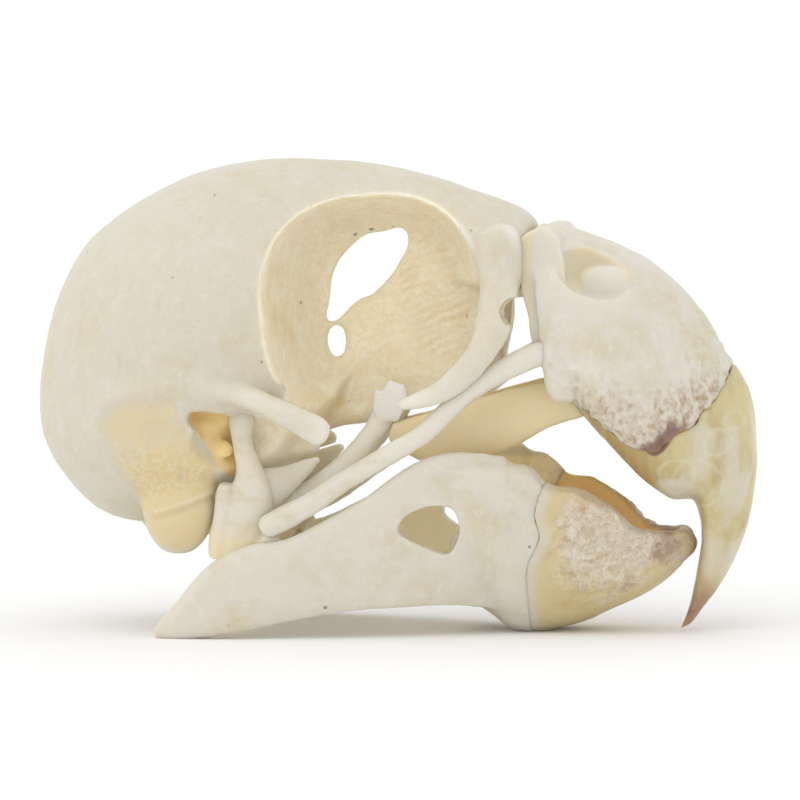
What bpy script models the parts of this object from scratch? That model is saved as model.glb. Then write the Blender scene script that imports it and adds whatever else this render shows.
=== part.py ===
"""Lovebird skull, life size, lying on its lower jaw.

The beak points along +X and the bird's right side faces -Y. The origin lies
on the floor under the middle of the skull's bounding box. All sizes are
written in millimetres and turned to metres when a bone is finished.
"""

import math

import bmesh
import bpy
import numpy as np

MM = 0.001
BONE_GAP = 0.3  # space kept between neighbouring bones
SMALL_BONE_VOXEL = 0.13
RIGHT = -1.0  # side of the mid-plane that faces -Y
LEFT = 1.0

# Driving dimensions of the whole skull
BRAINCASE_HALF_WIDTH = 8.0
SEPTUM_THICKNESS = 0.8
BAR_THICKNESS = 0.42
JAW_WALL = 0.85  # thickness of the scoop's side walls
REACH = 9.0  # distance along Y past the widest bone, where cuts end

# Profile of the braincase and forehead, back to front:
# x, height of the top, height of the underside, share of the half width
HEAD_PROFILE = [
    (-16.6, 10.8, 9.6, 0.08),
    (-16.4, 12.5, 8.6, 0.30),
    (-15.8, 15.2, 7.4, 0.50),
    (-14.6, 17.5, 6.0, 0.70),
    (-13.2, 18.85, 5.05, 0.85),
    (-11.4, 20.0, 4.8, 0.95),
    (-9.4, 20.9, 5.2, 1.0),
    (-7.1, 21.45, 6.1, 1.0),
    (-5.0, 21.65, 7.3, 0.94),
    (-3.4, 21.6, 9.4, 0.84),
    (-1.8, 21.5, 12.6, 0.71),
    (0.0, 21.2, 15.4, 0.64),
    (1.6, 20.8, 16.2, 0.62),
    (3.0, 20.3, 16.0, 0.61),
    (4.6, 19.75, 15.6, 0.61),
    (5.6, 19.3, 15.3, 0.61),
    (6.15, 18.8, 15.5, 0.59),
]

# Whole upper beak, bone and sheath together:
# (top x, z), (bottom x, z), half width, power of the superellipse, taper towards the top
BEAK_SECTIONS = [
    ((6.45, 18.65), (7.15, 11.9), 4.6, 3.2, 0.05),
    ((7.9, 18.5), (8.3, 10.5), 5.0, 3.1, 0.08),
    ((9.9, 17.8), (9.8, 8.7), 5.1, 2.8, 0.14),
    ((12.0, 16.65), (11.4, 6.95), 4.7, 2.5, 0.20),
    ((13.8, 14.9), (12.6, 6.1), 4.1, 2.3, 0.24),
    ((15.3, 12.5), (13.3, 6.1), 3.3, 2.2, 0.26),
    ((16.2, 10.9), (13.7, 6.0), 2.8, 2.2, 0.26),
    ((16.5, 8.6), (13.95, 5.1), 2.3, 2.2, 0.24),
    ((16.4, 6.7), (13.95, 4.1), 1.8, 2.1, 0.20),
    ((16.05, 4.8), (13.8, 3.1), 1.35, 2.1, 0.15),
    ((15.5, 3.35), (13.6, 2.1), 0.95, 2.0, 0.10),
    ((14.65, 1.9), (13.3, 0.95), 0.62, 2.0, 0.05),
    ((13.5, 0.3), (12.95, 0.05), 0.26, 2.0, 0.0),
]

# Line where the beak's bone ends and its horn begins, seen from the side
BEAK_SEAM = [(7.2, 11.4), (8.9, 10.2), (10.9, 8.9), (12.2, 8.5), (13.4, 9.4), (14.9, 11.0), (16.4, 13.0)]

# Groove of the palate, as x, distance from the mid-plane, z, half height, half width
PALATE_GROOVE = [
    (7.6, 0, 9.8, 1.2, 3.0),
    (9.6, 0, 8.0, 1.3, 3.0),
    (11.6, 0, 6.3, 1.3, 2.5),
    (13.0, 0, 5.4, 0.8, 1.3),
]

# Scoop of the lower jaw, as x, rim height, floor height, half width
SCOOP_SECTIONS = [
    (2.7, 8.2, 1.75, 4.9),
    (3.5, 8.4, 1.25, 4.95),
    (4.5, 8.45, 0.6, 4.85),
    (5.4, 8.4, -0.02, 4.65),
    (6.5, 8.2, -0.12, 4.35),
    (7.4, 7.3, 0.08, 4.2),
    (8.6, 7.1, 0.4, 4.05),
    (10.0, 6.2, 1.05, 3.65),
    (11.3, 4.95, 1.65, 3.05),
    (12.4, 4.75, 2.4, 2.3),
    (13.3, 4.8, 3.3, 1.35),
    (13.72, 4.2, 3.75, 0.5),
]
JAW_SEAM = [(7.9, 8.6), (7.5, 6.6), (7.15, 4.6), (6.8, 3.0), (6.5, 1.4), (6.4, -1.0)]

# Side plate of the lower jaw, as x, distance of its top edge from the mid-plane,
# how far its bottom edge leans in, top, bottom, half thickness
RAMUS_SECTIONS = [
    (-10.45, 6.4, 0.0, 0.42, -0.10, 0.30),
    (-9.5, 6.5, 0.0, 1.55, -0.10, 0.48),
    (-8.5, 6.5, 0.0, 2.75, -0.02, 0.58),
    (-7.5, 6.5, 0.0, 3.65, 0.10, 0.65),
    (-6.0, 6.4, 0.0, 4.30, 0.35, 0.65),
    (-4.5, 6.2, 0.0, 4.55, 0.70, 0.60),
    (-3.0, 5.95, 0.05, 5.25, 1.00, 0.55),
    (-1.0, 5.6, 0.15, 6.40, 1.25, 0.50),
    (1.0, 5.2, 0.35, 7.85, 1.35, 0.50),
    (2.6, 4.75, 0.7, 8.45, 1.35, 0.50),
    (4.0, 4.3, 1.1, 8.45, 1.20, 0.50),
    (5.4, 3.9, 1.5, 8.30, 1.00, 0.45),
]

# Rods and bars, as x, distance from the mid-plane, z, half height, half thickness
POSTORBITAL_ROD = [
    (-9.6, 6.9, 11.3, 1.1, 0.9),
    (-7.6, 7.5, 11.35, 0.70, 0.65),
    (-6.3, 7.7, 11.2, 0.56, 0.55),
    (-4.9, 7.7, 10.65, 0.55, 0.52),
    (-3.6, 7.6, 10.0, 0.62, 0.52),
    (-2.75, 7.5, 9.55, 0.66, 0.50),
    (-2.3, 7.45, 9.35, 0.42, 0.36),
]
SICKLE = [
    (4.6, 4.3, 18.4, 1.1, 0.55),
    (5.1, 4.7, 16.6, 0.95, 0.60),
    (5.1, 5.05, 15.2, 0.92, 0.56),
    (4.9, 5.3, 14.1, 0.90, 0.52),
    (4.4, 5.5, 13.05, 0.72, 0.50),
    (3.6, 5.6, 12.05, 0.64, 0.48),
    (2.55, 5.7, 11.25, 0.54, 0.44),
    (1.5, 5.75, 10.85, 0.40, 0.40),
    (0.6, 5.75, 10.6, 0.18, 0.24),
]
JUGAL_BAR = [
    (-5.55, 6.15, 4.95, 0.30, 0.3),
    (-5.1, 6.15, 5.2, 0.56, 0.45),
    (-3.4, 6.05, 6.1, 0.52, BAR_THICKNESS),
    (-1.85, 5.85, 7.15, 0.47, BAR_THICKNESS),
    (0.33, 5.6, 8.45, 0.46, BAR_THICKNESS),
    (1.85, 5.4, 9.4, 0.46, BAR_THICKNESS),
    (3.3, 5.2, 10.8, 0.46, BAR_THICKNESS),
    (4.85, 5.0, 11.95, 0.50, BAR_THICKNESS),
    (6.4, 4.8, 12.75, 0.58, BAR_THICKNESS),
    (7.6, 4.6, 13.2, 0.62, BAR_THICKNESS),
]
QUADRATE_COLUMN = [
    (-6.6, 5.9, 10.6, 0.46, 0.50),
    (-6.4, 5.9, 8.8, 0.48, 0.48),
    (-6.1, 5.7, 7.5, 0.70, 0.55),
    (-6.3, 5.4, 6.2, 1.15, 0.70),
    (-6.6, 5.2, 4.9, 1.25, 0.85),
    (-6.9, 5.1, 3.3, 1.15, 0.95),
]
QUADRATE_HUMP = [
    (-7.15, 5.6, 6.9, 0.30, 0.35),
    (-7.25, 5.5, 6.0, 0.55, 0.45),
    (-7.4, 5.3, 4.8, 0.62, 0.60),
    (-7.5, 5.2, 3.5, 0.55, 0.70),
]
QUADRATE_SPIKE = [
    (-6.3, 5.2, 6.6, 0.85, 0.5),
    (-4.9, 4.6, 7.05, 0.60, 0.42),
    (-3.3, 3.9, 7.95, 0.22, 0.25),
]
PTERYGOID_ROD = [
    (-6.2, 4.6, 5.3, 0.60, 0.5),
    (-4.4, 4.0, 6.1, 0.48, 0.42),
    (-3.1, 3.1, 7.0, 0.46, 0.40),
    (-2.0, 2.3, 7.95, 0.48, 0.40),
    (-1.05, 1.6, 9.1, 0.52, 0.42),
    (-0.45, 1.05, 10.35, 0.80, 0.42),
]
PALATINE_PLATE = [
    (8.5, 2.7, 10.9, 0.9, 0.4),
    (6.9, 2.6, 10.6, 1.05, 0.42),
    (5.2, 2.4, 9.8, 1.3, 0.45),
    (3.4, 2.2, 9.2, 1.4, 0.45),
    (1.8, 1.9, 8.9, 1.2, 0.42),
    (0.5, 1.6, 9.0, 0.8, 0.40),
    (-0.2, 1.5, 9.2, 0.45, 0.35),
]
SPHENOID_POINT = [
    (-8.5, 3.2, 8.6, 2.0, 1.8),
    (-6.0, 3.1, 8.7, 1.2, 1.3),
    (-4.6, 3.0, 8.6, 0.75, 0.9),
    (-3.3, 2.8, 8.5, 0.25, 0.35),
]
ROSTRUM = [
    (-7.5, 0.0, 8.2, 1.6, 1.8),
    (-5.2, 0.0, 9.0, 1.0, 1.2),
    (-3.2, 0.0, 9.75, 0.62, 0.7),
    (-1.0, 0.0, 10.1, 0.55, 0.55),
    (2.0, 0.0, 11.2, 0.5, 0.5),
    (4.6, 0.0, 12.8, 0.45, 0.45),
]

# Outline of the wall between the eyes and of its two windows
SEPTUM_OUTLINE = [
    (-6.0, 20.0),
    (4.6, 19.0),
    (5.3, 16.0),
    (5.0, 13.6),
    (4.4, 12.5),
    (2.0, 11.0),
    (-3.4, 9.6),
    (-6.0, 10.0),
]
SEPTUM_WINDOW = [
    (-3.4, 14.2),
    (-3.1, 16.1),
    (-2.3, 17.3),
    (-1.4, 18.1),
    (0.0, 18.4),
    (0.25, 17.5),
    (-0.6, 16.1),
    (-1.7, 15.3),
    (-2.7, 14.4),
]
SEPTUM_PORE = (-2.95, 13.2, 0.42, 0.74)  # centre x, z, half width, half height

JAW_WINDOW = [
    (0.64, 5.1),
    (1.0, 5.6),
    (1.75, 5.95),
    (2.5, 6.02),
    (3.1, 5.8),
    (3.35, 5.0),
    (3.15, 4.25),
    (2.7, 3.75),
    (1.6, 4.2),
    (0.75, 4.7),
]

# Bone and horn finishes
BONE = {"colour": (0.76, 0.72, 0.63), "roughness": 0.55}
SMALL_BONE = {"colour": (0.74, 0.68, 0.55), "roughness": 0.5}
UPPER_HORN = {"colour": (0.66, 0.57, 0.34), "roughness": 0.35}
LOWER_HORN = {"colour": (0.68, 0.55, 0.30), "roughness": 0.4}


def clear_scene():
    """Remove whatever objects the file opened with."""
    for found in list(bpy.data.objects):
        bpy.data.objects.remove(found, do_unlink=True)


def spline(points, per_span, closed=False):
    """Smooth curve through rows of numbers, as an array with per_span samples between each pair."""
    rows = np.array(points, dtype=float)
    if closed:
        padded = np.vstack([rows[-1], rows, rows[0], rows[1]])
    else:
        padded = np.vstack([2 * rows[0] - rows[1], rows, 2 * rows[-1] - rows[-2]])
    found = []
    for first, second, third, fourth in zip(padded, padded[1:], padded[2:], padded[3:]):
        for step in range(per_span):
            t = step / per_span
            found.append(
                0.5
                * (
                    2 * second
                    + (third - first) * t
                    + (2 * first - 5 * second + 4 * third - fourth) * t * t
                    + (3 * second - first - 3 * third + fourth) * t**3
                )
            )
    if not closed:
        found.append(rows[-1])
    return np.array(found)


def new_piece(name, points, faces):
    """Object from points in millimetres, with its faces turned outwards."""
    mesh = bpy.data.meshes.new(name)
    mesh.from_pydata([tuple(point) for point in points], [], faces)
    body = bmesh.new()
    body.from_mesh(mesh)
    bmesh.ops.recalc_face_normals(body, faces=body.faces)
    body.to_mesh(mesh)
    body.free()
    piece = bpy.data.objects.new(name, mesh)
    bpy.context.scene.collection.objects.link(piece)
    return piece


def ring(top, bottom, across, half_width, power, taper, widest, sides):
    """Closed superellipse section between two points, widest at a share of its height."""
    angles = np.arange(sides) * 2 * math.pi / sides
    side = np.sign(np.cos(angles)) * np.abs(np.cos(angles)) ** (2 / power)
    lift = np.sign(np.sin(angles)) * np.abs(np.sin(angles)) ** (2 / power)
    share = np.where(lift > 0, widest + lift * (1 - widest), widest + lift * widest)
    reach = side * half_width * (1 - taper * lift)
    return np.outer(1 - share, bottom) + np.outer(share, top) + np.outer(reach, across)


def loft(name, rings):
    """Skin a row of equal rings and close both ends."""
    sides = len(rings[0])
    points = np.vstack(rings)
    faces = []
    for row in range(len(rings) - 1):
        for side in range(sides):
            after = (side + 1) % sides
            start = row * sides
            faces.append((start + side, start + after, start + sides + after, start + sides + side))
    faces.append(tuple(range(sides)))
    faces.append(tuple(range(len(points) - sides, len(points))))
    return new_piece(name, points, faces)


def profile_loft(name, sections, power, taper=0.0, widest=0.5, per_span=4, sides=28):
    """Loft upright sections given as x, top, bottom and half width."""
    rings = []
    for x, top, bottom, half_width in spline(sections, per_span):
        rings.append(ring((x, 0, top), (x, 0, bottom), (0, 1, 0), half_width, power, taper, widest, sides))
    return loft(name, rings)


def rod(name, stations, side, per_span=4, sides=14, power=2.0):
    """Loft a bar along stations given as x, distance from the mid-plane, z, half height, half thickness."""
    rows = spline(stations, per_span)
    path = rows[:, :3] * (1, side, 1)
    tangents = np.gradient(path, axis=0)
    rings = []
    for centre, tangent, (half_height, half_thickness) in zip(path, tangents, rows[:, 3:]):
        tangent = tangent / np.linalg.norm(tangent)
        across = np.array((0.0, 1.0, 0.0)) - tangent[1] * tangent
        across = across / np.linalg.norm(across)
        upward = np.cross(across, tangent) * half_height
        rings.append(ring(centre + upward, centre - upward, across, half_thickness, power, 0, 0.5, sides))
    return loft(name, rings)


def plate(name, outline, inner, outer):
    """Flat plate with a side outline of x and z, between two distances along Y."""
    count = len(outline)
    points = [(x, y, z) for y in (inner, outer) for x, z in outline]
    faces = [(k, (k + 1) % count, count + (k + 1) % count, count + k) for k in range(count)]
    faces.append(tuple(range(count)))
    faces.append(tuple(range(count, 2 * count)))
    return new_piece(name, points, faces)


def ellipsoid(name, centre, half_sizes, power=2.0, tilt=0.0, rows=14, sides=24):
    """Rounded block with superellipse sections, tilted about the Y axis by an angle in degrees."""
    points = []
    for row in range(1, rows):
        around = math.pi * row / rows
        spread = math.sin(around) ** (2 / power)
        height = math.copysign(abs(math.cos(around)) ** (2 / power), math.cos(around))
        for side in range(sides):
            angle = 2 * math.pi * side / sides
            u = math.copysign(abs(math.cos(angle)) ** (2 / power), math.cos(angle))
            v = math.copysign(abs(math.sin(angle)) ** (2 / power), math.sin(angle))
            points.append((u * spread, v * spread, height))
    turn = math.radians(tilt)
    placed = []
    for u, v, height in points:
        x, y, z = u * half_sizes[0], v * half_sizes[1], height * half_sizes[2]
        placed.append(
            (
                centre[0] + x * math.cos(turn) + z * math.sin(turn),
                centre[1] + y,
                centre[2] - x * math.sin(turn) + z * math.cos(turn),
            )
        )
    rings = [np.array(placed[row * sides : (row + 1) * sides]) for row in range(rows - 1)]
    return loft(name, rings)


def seam_strip(name, seam, thickness, reach):
    """Curved wall of even thickness along a side outline, reaching past both sides of the skull."""
    path = spline(seam, 4)
    tangents = np.gradient(path, axis=0)
    normals = np.stack([-tangents[:, 1], tangents[:, 0]], axis=1)
    normals /= np.linalg.norm(normals, axis=1)[:, None]
    ahead = path + normals * thickness / 2
    behind = path - normals * thickness / 2
    return plate(name, [*ahead, *behind[::-1]], -reach, reach)


def bake(piece):
    """Apply every modifier of a piece to its mesh."""
    shown = piece.evaluated_get(bpy.context.evaluated_depsgraph_get())
    mesh = bpy.data.meshes.new_from_object(shown)
    piece.modifiers.clear()
    piece.data = mesh


def combine(piece, others, operation, solver="EXACT"):
    """Join a group of closed pieces to a piece, or cut them from it, in one Boolean."""
    group = bpy.data.collections.new("group")
    for other in others:
        group.objects.link(other)
    modifier = piece.modifiers.new("combine", "BOOLEAN")
    modifier.operation = operation
    modifier.operand_type = "COLLECTION"
    modifier.collection = group
    modifier.solver = solver
    bake(piece)
    for other in others:
        bpy.data.objects.remove(other, do_unlink=True)
    bpy.data.collections.remove(group)


def soften(piece, voxel, rounds, triangles):
    """Melt the joints of a piece together, then bring it to a number of triangles."""
    remesh = piece.modifiers.new("melt", "REMESH")
    remesh.mode = "VOXEL"
    remesh.voxel_size = voxel
    if rounds:
        smooth = piece.modifiers.new("smooth", "SMOOTH")
        smooth.factor = 0.5
        smooth.iterations = rounds
    bake(piece)
    keep_largest(piece)
    reduce_to(piece, triangles)


def keep_largest(piece):
    """Keep only the closed surface of a piece that encloses most space."""
    body = bmesh.new()
    body.from_mesh(piece.data)
    left = set(body.verts)
    shells = []
    while left:
        seed = left.pop()
        shell = {seed}
        edge = [seed]
        while edge:
            vertex = edge.pop()
            for link in vertex.link_edges:
                other = link.other_vert(vertex)
                if other in left:
                    left.discard(other)
                    shell.add(other)
                    edge.append(other)
        shells.append(shell)
    largest = max(shells, key=len)
    for shell in shells:
        if shell is not largest:
            bmesh.ops.delete(body, geom=list(shell), context="VERTS")
    body.to_mesh(piece.data)
    body.free()


def swollen(piece, gap):
    """Copy of a piece grown by a gap on every side, to cut its neighbours clear of it."""
    copy = bpy.data.objects.new(piece.name + "_swollen", piece.data.copy())
    bpy.context.scene.collection.objects.link(copy)
    grow = copy.modifiers.new("grow", "DISPLACE")
    grow.strength = gap
    grow.mid_level = 0.0
    melt = copy.modifiers.new("melt", "REMESH")
    melt.mode = "VOXEL"
    melt.voxel_size = gap * 0.7
    bake(copy)
    keep_largest(copy)
    return copy


def reduce_to(piece, triangles):
    """Bring a piece down to about a number of triangles."""
    piece.data.calc_loop_triangles()
    reduce = piece.modifiers.new("reduce", "DECIMATE")
    reduce.ratio = min(1.0, triangles / len(piece.data.loop_triangles))
    reduce.use_collapse_triangulate = True
    bake(piece)


def cut_clear(piece, neighbours):
    """Cut a piece clear of its neighbours by the gap that touching bones keep."""
    for neighbour in neighbours:
        combine(piece, [swollen(neighbour, BONE_GAP)], "DIFFERENCE")
    keep_largest(piece)


def level_block():
    """Block under the floor level, which leaves flats where a bone rests."""
    return plate("level", [(-20, -4), (20, -4), (20, 0), (-20, 0)], -12, 12)


def mirrored(piece, name):
    """Copy of a right-hand bone for the left side."""
    copy = bpy.data.objects.new(name, piece.data.copy())
    bpy.context.scene.collection.objects.link(copy)
    body = bmesh.new()
    body.from_mesh(copy.data)
    bmesh.ops.scale(body, vec=(1, -1, 1), verts=body.verts)
    bmesh.ops.reverse_faces(body, faces=body.faces)
    body.to_mesh(copy.data)
    body.free()
    return copy


def finish(piece, name, looks):
    """Name a bone, turn it to metres, shade it smooth and give it its material."""
    piece.name = name
    piece.data.name = name
    points = np.empty(len(piece.data.vertices) * 3, dtype=np.float32)
    piece.data.vertices.foreach_get("co", points)
    piece.data.vertices.foreach_set("co", points * MM)
    piece.data.shade_smooth()
    material = bpy.data.materials.new(name + "_finish")
    material.use_nodes = True
    shader = material.node_tree.nodes["Principled BSDF"]
    shader.inputs["Base Color"].default_value = (*looks["colour"], 1.0)
    shader.inputs["Roughness"].default_value = looks["roughness"]
    shader.inputs["Metallic"].default_value = 0.0
    piece.data.materials.clear()
    piece.data.materials.append(material)


def make_cranium():
    """Braincase, forehead and eye sockets with their rods, one bone."""
    sections = [(x, top, bottom, share * BRAINCASE_HALF_WIDTH) for x, top, bottom, share in HEAD_PROFILE]
    cranium = profile_loft("cranium", sections, power=2.25, taper=0.06, widest=0.52, sides=40)
    orbits = []
    for side in (RIGHT, LEFT):
        orbits.append(ellipsoid("orbit", (-0.45, side * 6.9, 14.9), (4.85, 7.6, 5.35), power=2.5, tilt=-6))
    combine(cranium, orbits, "DIFFERENCE")
    added = [
        plate("septum", SEPTUM_OUTLINE, -SEPTUM_THICKNESS / 2, SEPTUM_THICKNESS / 2),
        rod("rostrum", ROSTRUM, RIGHT),
        ellipsoid("condyle", (-11.3, 0, 5.2), (0.9, 1.0, 0.9)),
    ]
    for side in (RIGHT, LEFT):
        added.append(rod("sickle", SICKLE, side))
        added.append(rod("sphenoid_point", SPHENOID_POINT, side))
        added.append(ellipsoid("occipital_lobe", (-9.55, side * 4.9, 6.4), (1.75, 1.1, 2.75), power=2.2))
        added.append(ellipsoid("front_wall", (4.9, side * 2.4, 15.6), (0.55, 2.6, 1.9), power=2.6))
    combine(cranium, added, "UNION")
    pore_x, pore_z, pore_half_width, pore_half_height = SEPTUM_PORE
    cuts = [
        plate("window", spline(SEPTUM_WINDOW, 3, closed=True), -2.4, 2.4),
        ellipsoid("pore", (pore_x, 0, pore_z), (pore_half_width, 3.0, pore_half_height), power=2.4),
        ellipsoid("spinal_opening", (-13.1, 0, 5.6), (1.3, 1.6, 2.4), tilt=-20),
    ]
    for side in (RIGHT, LEFT):
        cuts.append(ellipsoid("temple_hollow", (-10.4, side * 8.9, 8.2), (2.6, 1.9, 2.7)))
        cuts.append(ellipsoid("ear_hollow", (-5.9, side * 8.1, 8.55), (2.9, 3.1, 2.0), power=2.2))
    combine(cranium, cuts, "DIFFERENCE")
    rods = [rod("postorbital", POSTORBITAL_ROD, side) for side in (RIGHT, LEFT)]
    combine(cranium, rods, "UNION")
    soften(cranium, 0.2, 2, 5000)
    return cranium


def part_at_seam(piece, other_side, seam):
    """Cut away what lies past a seam, and half the gap that the two parts keep."""
    past = plate("past", other_side, -REACH, REACH)
    combine(piece, [past, seam_strip("seam", seam, BONE_GAP, REACH)], "DIFFERENCE")


def make_beak():
    """Upper beak, parted along its seam into the bone and the horn sheath."""
    widest = 0.42
    sections = [(*top, *bottom, *shape) for top, bottom, *shape in BEAK_SECTIONS]
    rings = []
    for top_x, top_z, bottom_x, bottom_z, half_width, power, taper in spline(sections, 4):
        top, bottom = (top_x, 0, top_z), (bottom_x, 0, bottom_z)
        rings.append(ring(top, bottom, (0, 1, 0), half_width, power, taper, widest, 32))
    beak = loft("beak", rings)
    cuts = [rod("palate_groove", PALATE_GROOVE, RIGHT, sides=18)]
    for side in (RIGHT, LEFT):
        cuts.append(ellipsoid("nostril", (9.6, side * 4.2, 16.85), (1.95, 2.1, 1.4), power=2.2, tilt=14))
    combine(beak, cuts, "DIFFERENCE")
    soften(beak, 0.2, 2, 2600)
    sheath = bpy.data.objects.new("sheath", beak.data.copy())
    bpy.context.scene.collection.objects.link(sheath)
    seam = spline(BEAK_SEAM, 4)
    above = [*seam, (16.4, 24.0), (4.0, 24.0), (4.0, 11.4)]
    below = [*seam, (22.0, 13.0), (22.0, -3.0), (4.0, -3.0), (4.0, 11.4)]
    long_seam = [(3.6, 11.4), *BEAK_SEAM, (18.4, 15.4)]
    part_at_seam(beak, below, long_seam)
    part_at_seam(sheath, above, long_seam)
    keep_largest(beak)
    keep_largest(sheath)
    return beak, sheath


def make_jaw():
    """Lower jaw, parted along its seam into the bone and the horn sheath."""
    mouth_start, mouth_end = 2.8, 12.9
    outer = []
    inner = []
    for x, rim, floor, half_width in spline(SCOOP_SECTIONS, 4):
        outer.append(ring((x, 0, rim), (x, 0, floor), (0, 1, 0), half_width, 2.5, 0, 0.86, 32))
        if mouth_start < x < mouth_end:
            rise = 0.19 + 0.0275 * x
            lowest = (x, 0, floor + (rim - floor) * rise)
            inner.append(ring((x, 0, rim + 3), lowest, (0, 1, 0), half_width - JAW_WALL, 2.5, 0, 0.7, 32))
    inner.insert(0, inner[0] - (2.0, 0, 0))
    jaw = loft("jaw", outer)
    combine(jaw, [loft("mouth", inner)], "DIFFERENCE")
    added = []
    for side in (RIGHT, LEFT):
        rings = []
        for x, away, lean, top, bottom, thick in spline(RAMUS_SECTIONS, 4):
            upper = (x, side * away, top)
            lower = (x, side * (away - lean), bottom)
            rings.append(ring(upper, lower, (0, 1, 0), thick, 3.0, 0, 0.5, 16))
        added.append(loft("ramus", rings))
        added.append(ellipsoid("joint_shelf", (-7.0, side * 5.4, 2.3), (1.7, 1.3, 0.85)))
    combine(jaw, added, "UNION")
    window = spline(JAW_WINDOW, 3, closed=True)
    near, far = 3.0, REACH
    combine(jaw, [plate("jaw_window", window, y * near, y * far) for y in (RIGHT, LEFT)], "DIFFERENCE")
    soften(jaw, 0.18, 2, 3400)
    sheath = bpy.data.objects.new("sheath", jaw.data.copy())
    bpy.context.scene.collection.objects.link(sheath)
    seam = spline(JAW_SEAM, 4)
    ahead = [*seam, (22, -1.0), (22, 8.6)]
    behind = [*seam, (-20, -1.0), (-20, 8.6), (-20, 12.0), (7.9, 12.0)]
    long_seam = [(8.4, 10.6), *JAW_SEAM, (6.4, -3.0)]
    part_at_seam(jaw, ahead, long_seam)
    part_at_seam(sheath, behind, long_seam)
    combine(jaw, [level_block()], "DIFFERENCE")
    combine(sheath, [level_block()], "DIFFERENCE")
    keep_largest(jaw)
    keep_largest(sheath)
    return jaw, sheath


def make_quadrate():
    """Right quadrate, the small bone between the braincase and the lower jaw."""
    quadrate = rod("quadrate", QUADRATE_COLUMN, RIGHT)
    combine(quadrate, [rod("spike", QUADRATE_SPIKE, RIGHT), rod("hump", QUADRATE_HUMP, RIGHT)], "UNION")
    return quadrate


def build():
    """Make every bone and horn sheath and cut neighbours clear of each other."""
    clear_scene()
    cranium = make_cranium()
    beak, beak_sheath = make_beak()
    jaw, jaw_sheath = make_jaw()
    quadrate = make_quadrate()
    jugal = rod("jugal", JUGAL_BAR, RIGHT)
    pterygoid = rod("pterygoid", PTERYGOID_ROD, RIGHT)
    palatine = rod("palatine", PALATINE_PLATE, RIGHT)
    cut_clear(beak, [cranium])
    reduce_to(beak, 1500)
    reduce_to(beak_sheath, 1400)
    reduce_to(jaw_sheath, 900)
    cut_clear(quadrate, [cranium, jaw])
    soften(quadrate, SMALL_BONE_VOXEL, 1, 600)
    cut_clear(jugal, [beak, quadrate, jaw, cranium])
    soften(jugal, SMALL_BONE_VOXEL, 1, 360)
    cut_clear(pterygoid, [cranium, quadrate, jaw])
    soften(pterygoid, SMALL_BONE_VOXEL, 1, 320)
    cut_clear(palatine, [beak, beak_sheath, cranium, pterygoid])
    soften(palatine, SMALL_BONE_VOXEL, 1, 360)
    finish(mirrored(quadrate, "quadrate_left"), "quadrate_left", SMALL_BONE)
    finish(mirrored(jugal, "jugal_left"), "jugal_left", SMALL_BONE)
    finish(mirrored(pterygoid, "pterygoid_left"), "pterygoid_left", SMALL_BONE)
    finish(mirrored(palatine, "palatine_left"), "palatine_left", SMALL_BONE)
    finish(quadrate, "quadrate_right", SMALL_BONE)
    finish(jugal, "jugal_right", SMALL_BONE)
    finish(pterygoid, "pterygoid_right", SMALL_BONE)
    finish(palatine, "palatine_right", SMALL_BONE)
    finish(cranium, "cranium", BONE)
    finish(beak, "upper_beak_bone", BONE)
    finish(beak_sheath, "upper_beak_sheath", UPPER_HORN)
    finish(jaw, "mandible", BONE)
    finish(jaw_sheath, "lower_beak_sheath", LOWER_HORN)


build()
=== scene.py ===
"""Dry skull of a lovebird, life size, resting on its lower jaw.

Every bone and horn sheath is a surface worked out with numpy from sizes in
millimetres, melted into one skin, then given its relief, its masks and its
finish. The beak points along +X and the bird's right side faces -Y.
"""

import logging
import math
from collections.abc import Sequence
from dataclasses import dataclass
from enum import Enum
from itertools import product

import bpy
import numpy as np
from numpy.typing import NDArray
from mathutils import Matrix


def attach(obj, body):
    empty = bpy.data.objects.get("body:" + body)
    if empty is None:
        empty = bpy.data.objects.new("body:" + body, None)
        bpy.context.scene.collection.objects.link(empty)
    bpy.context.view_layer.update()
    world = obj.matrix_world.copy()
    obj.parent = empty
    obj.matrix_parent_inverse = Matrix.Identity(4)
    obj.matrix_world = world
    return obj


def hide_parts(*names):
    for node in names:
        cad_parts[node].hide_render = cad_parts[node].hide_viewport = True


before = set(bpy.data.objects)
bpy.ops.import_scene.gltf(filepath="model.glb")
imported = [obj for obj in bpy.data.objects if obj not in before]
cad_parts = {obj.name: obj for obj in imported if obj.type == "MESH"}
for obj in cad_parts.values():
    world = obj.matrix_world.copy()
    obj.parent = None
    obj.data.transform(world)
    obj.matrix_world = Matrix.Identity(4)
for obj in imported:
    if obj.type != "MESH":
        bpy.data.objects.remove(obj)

MM = 0.001
Array = NDArray[np.float64]
Rows = Sequence[Sequence[float]]
Triple = tuple[float, float, float]
Tree = bpy.types.NodeTree
Socket = bpy.types.NodeSocket
SIDEWAYS = np.array(((0.0, 1.0, 0.0),))
EVEN: Triple = (1.0, 1.0, 1.0)
# how far a cutter reaches in millimetres to pass the whole skull to the side, ahead, behind, over and under
PAST_SIDE, PAST_FRONT, PAST_BACK, PAST_TOP, PAST_FLOOR = 9, 22, -20, 24, -3
log = logging.getLogger("lovebird_skull")


class Side(Enum):
    """Side of the skull, as the sign of its Y coordinate."""

    RIGHT = -1.0
    LEFT = 1.0


class Slot(Enum):
    """Names of the material slots."""

    BONE = "bone"
    SMALL_BONE = "small_bone"
    UPPER_HORN = "upper_horn"
    LOWER_HORN = "lower_horn"


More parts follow.
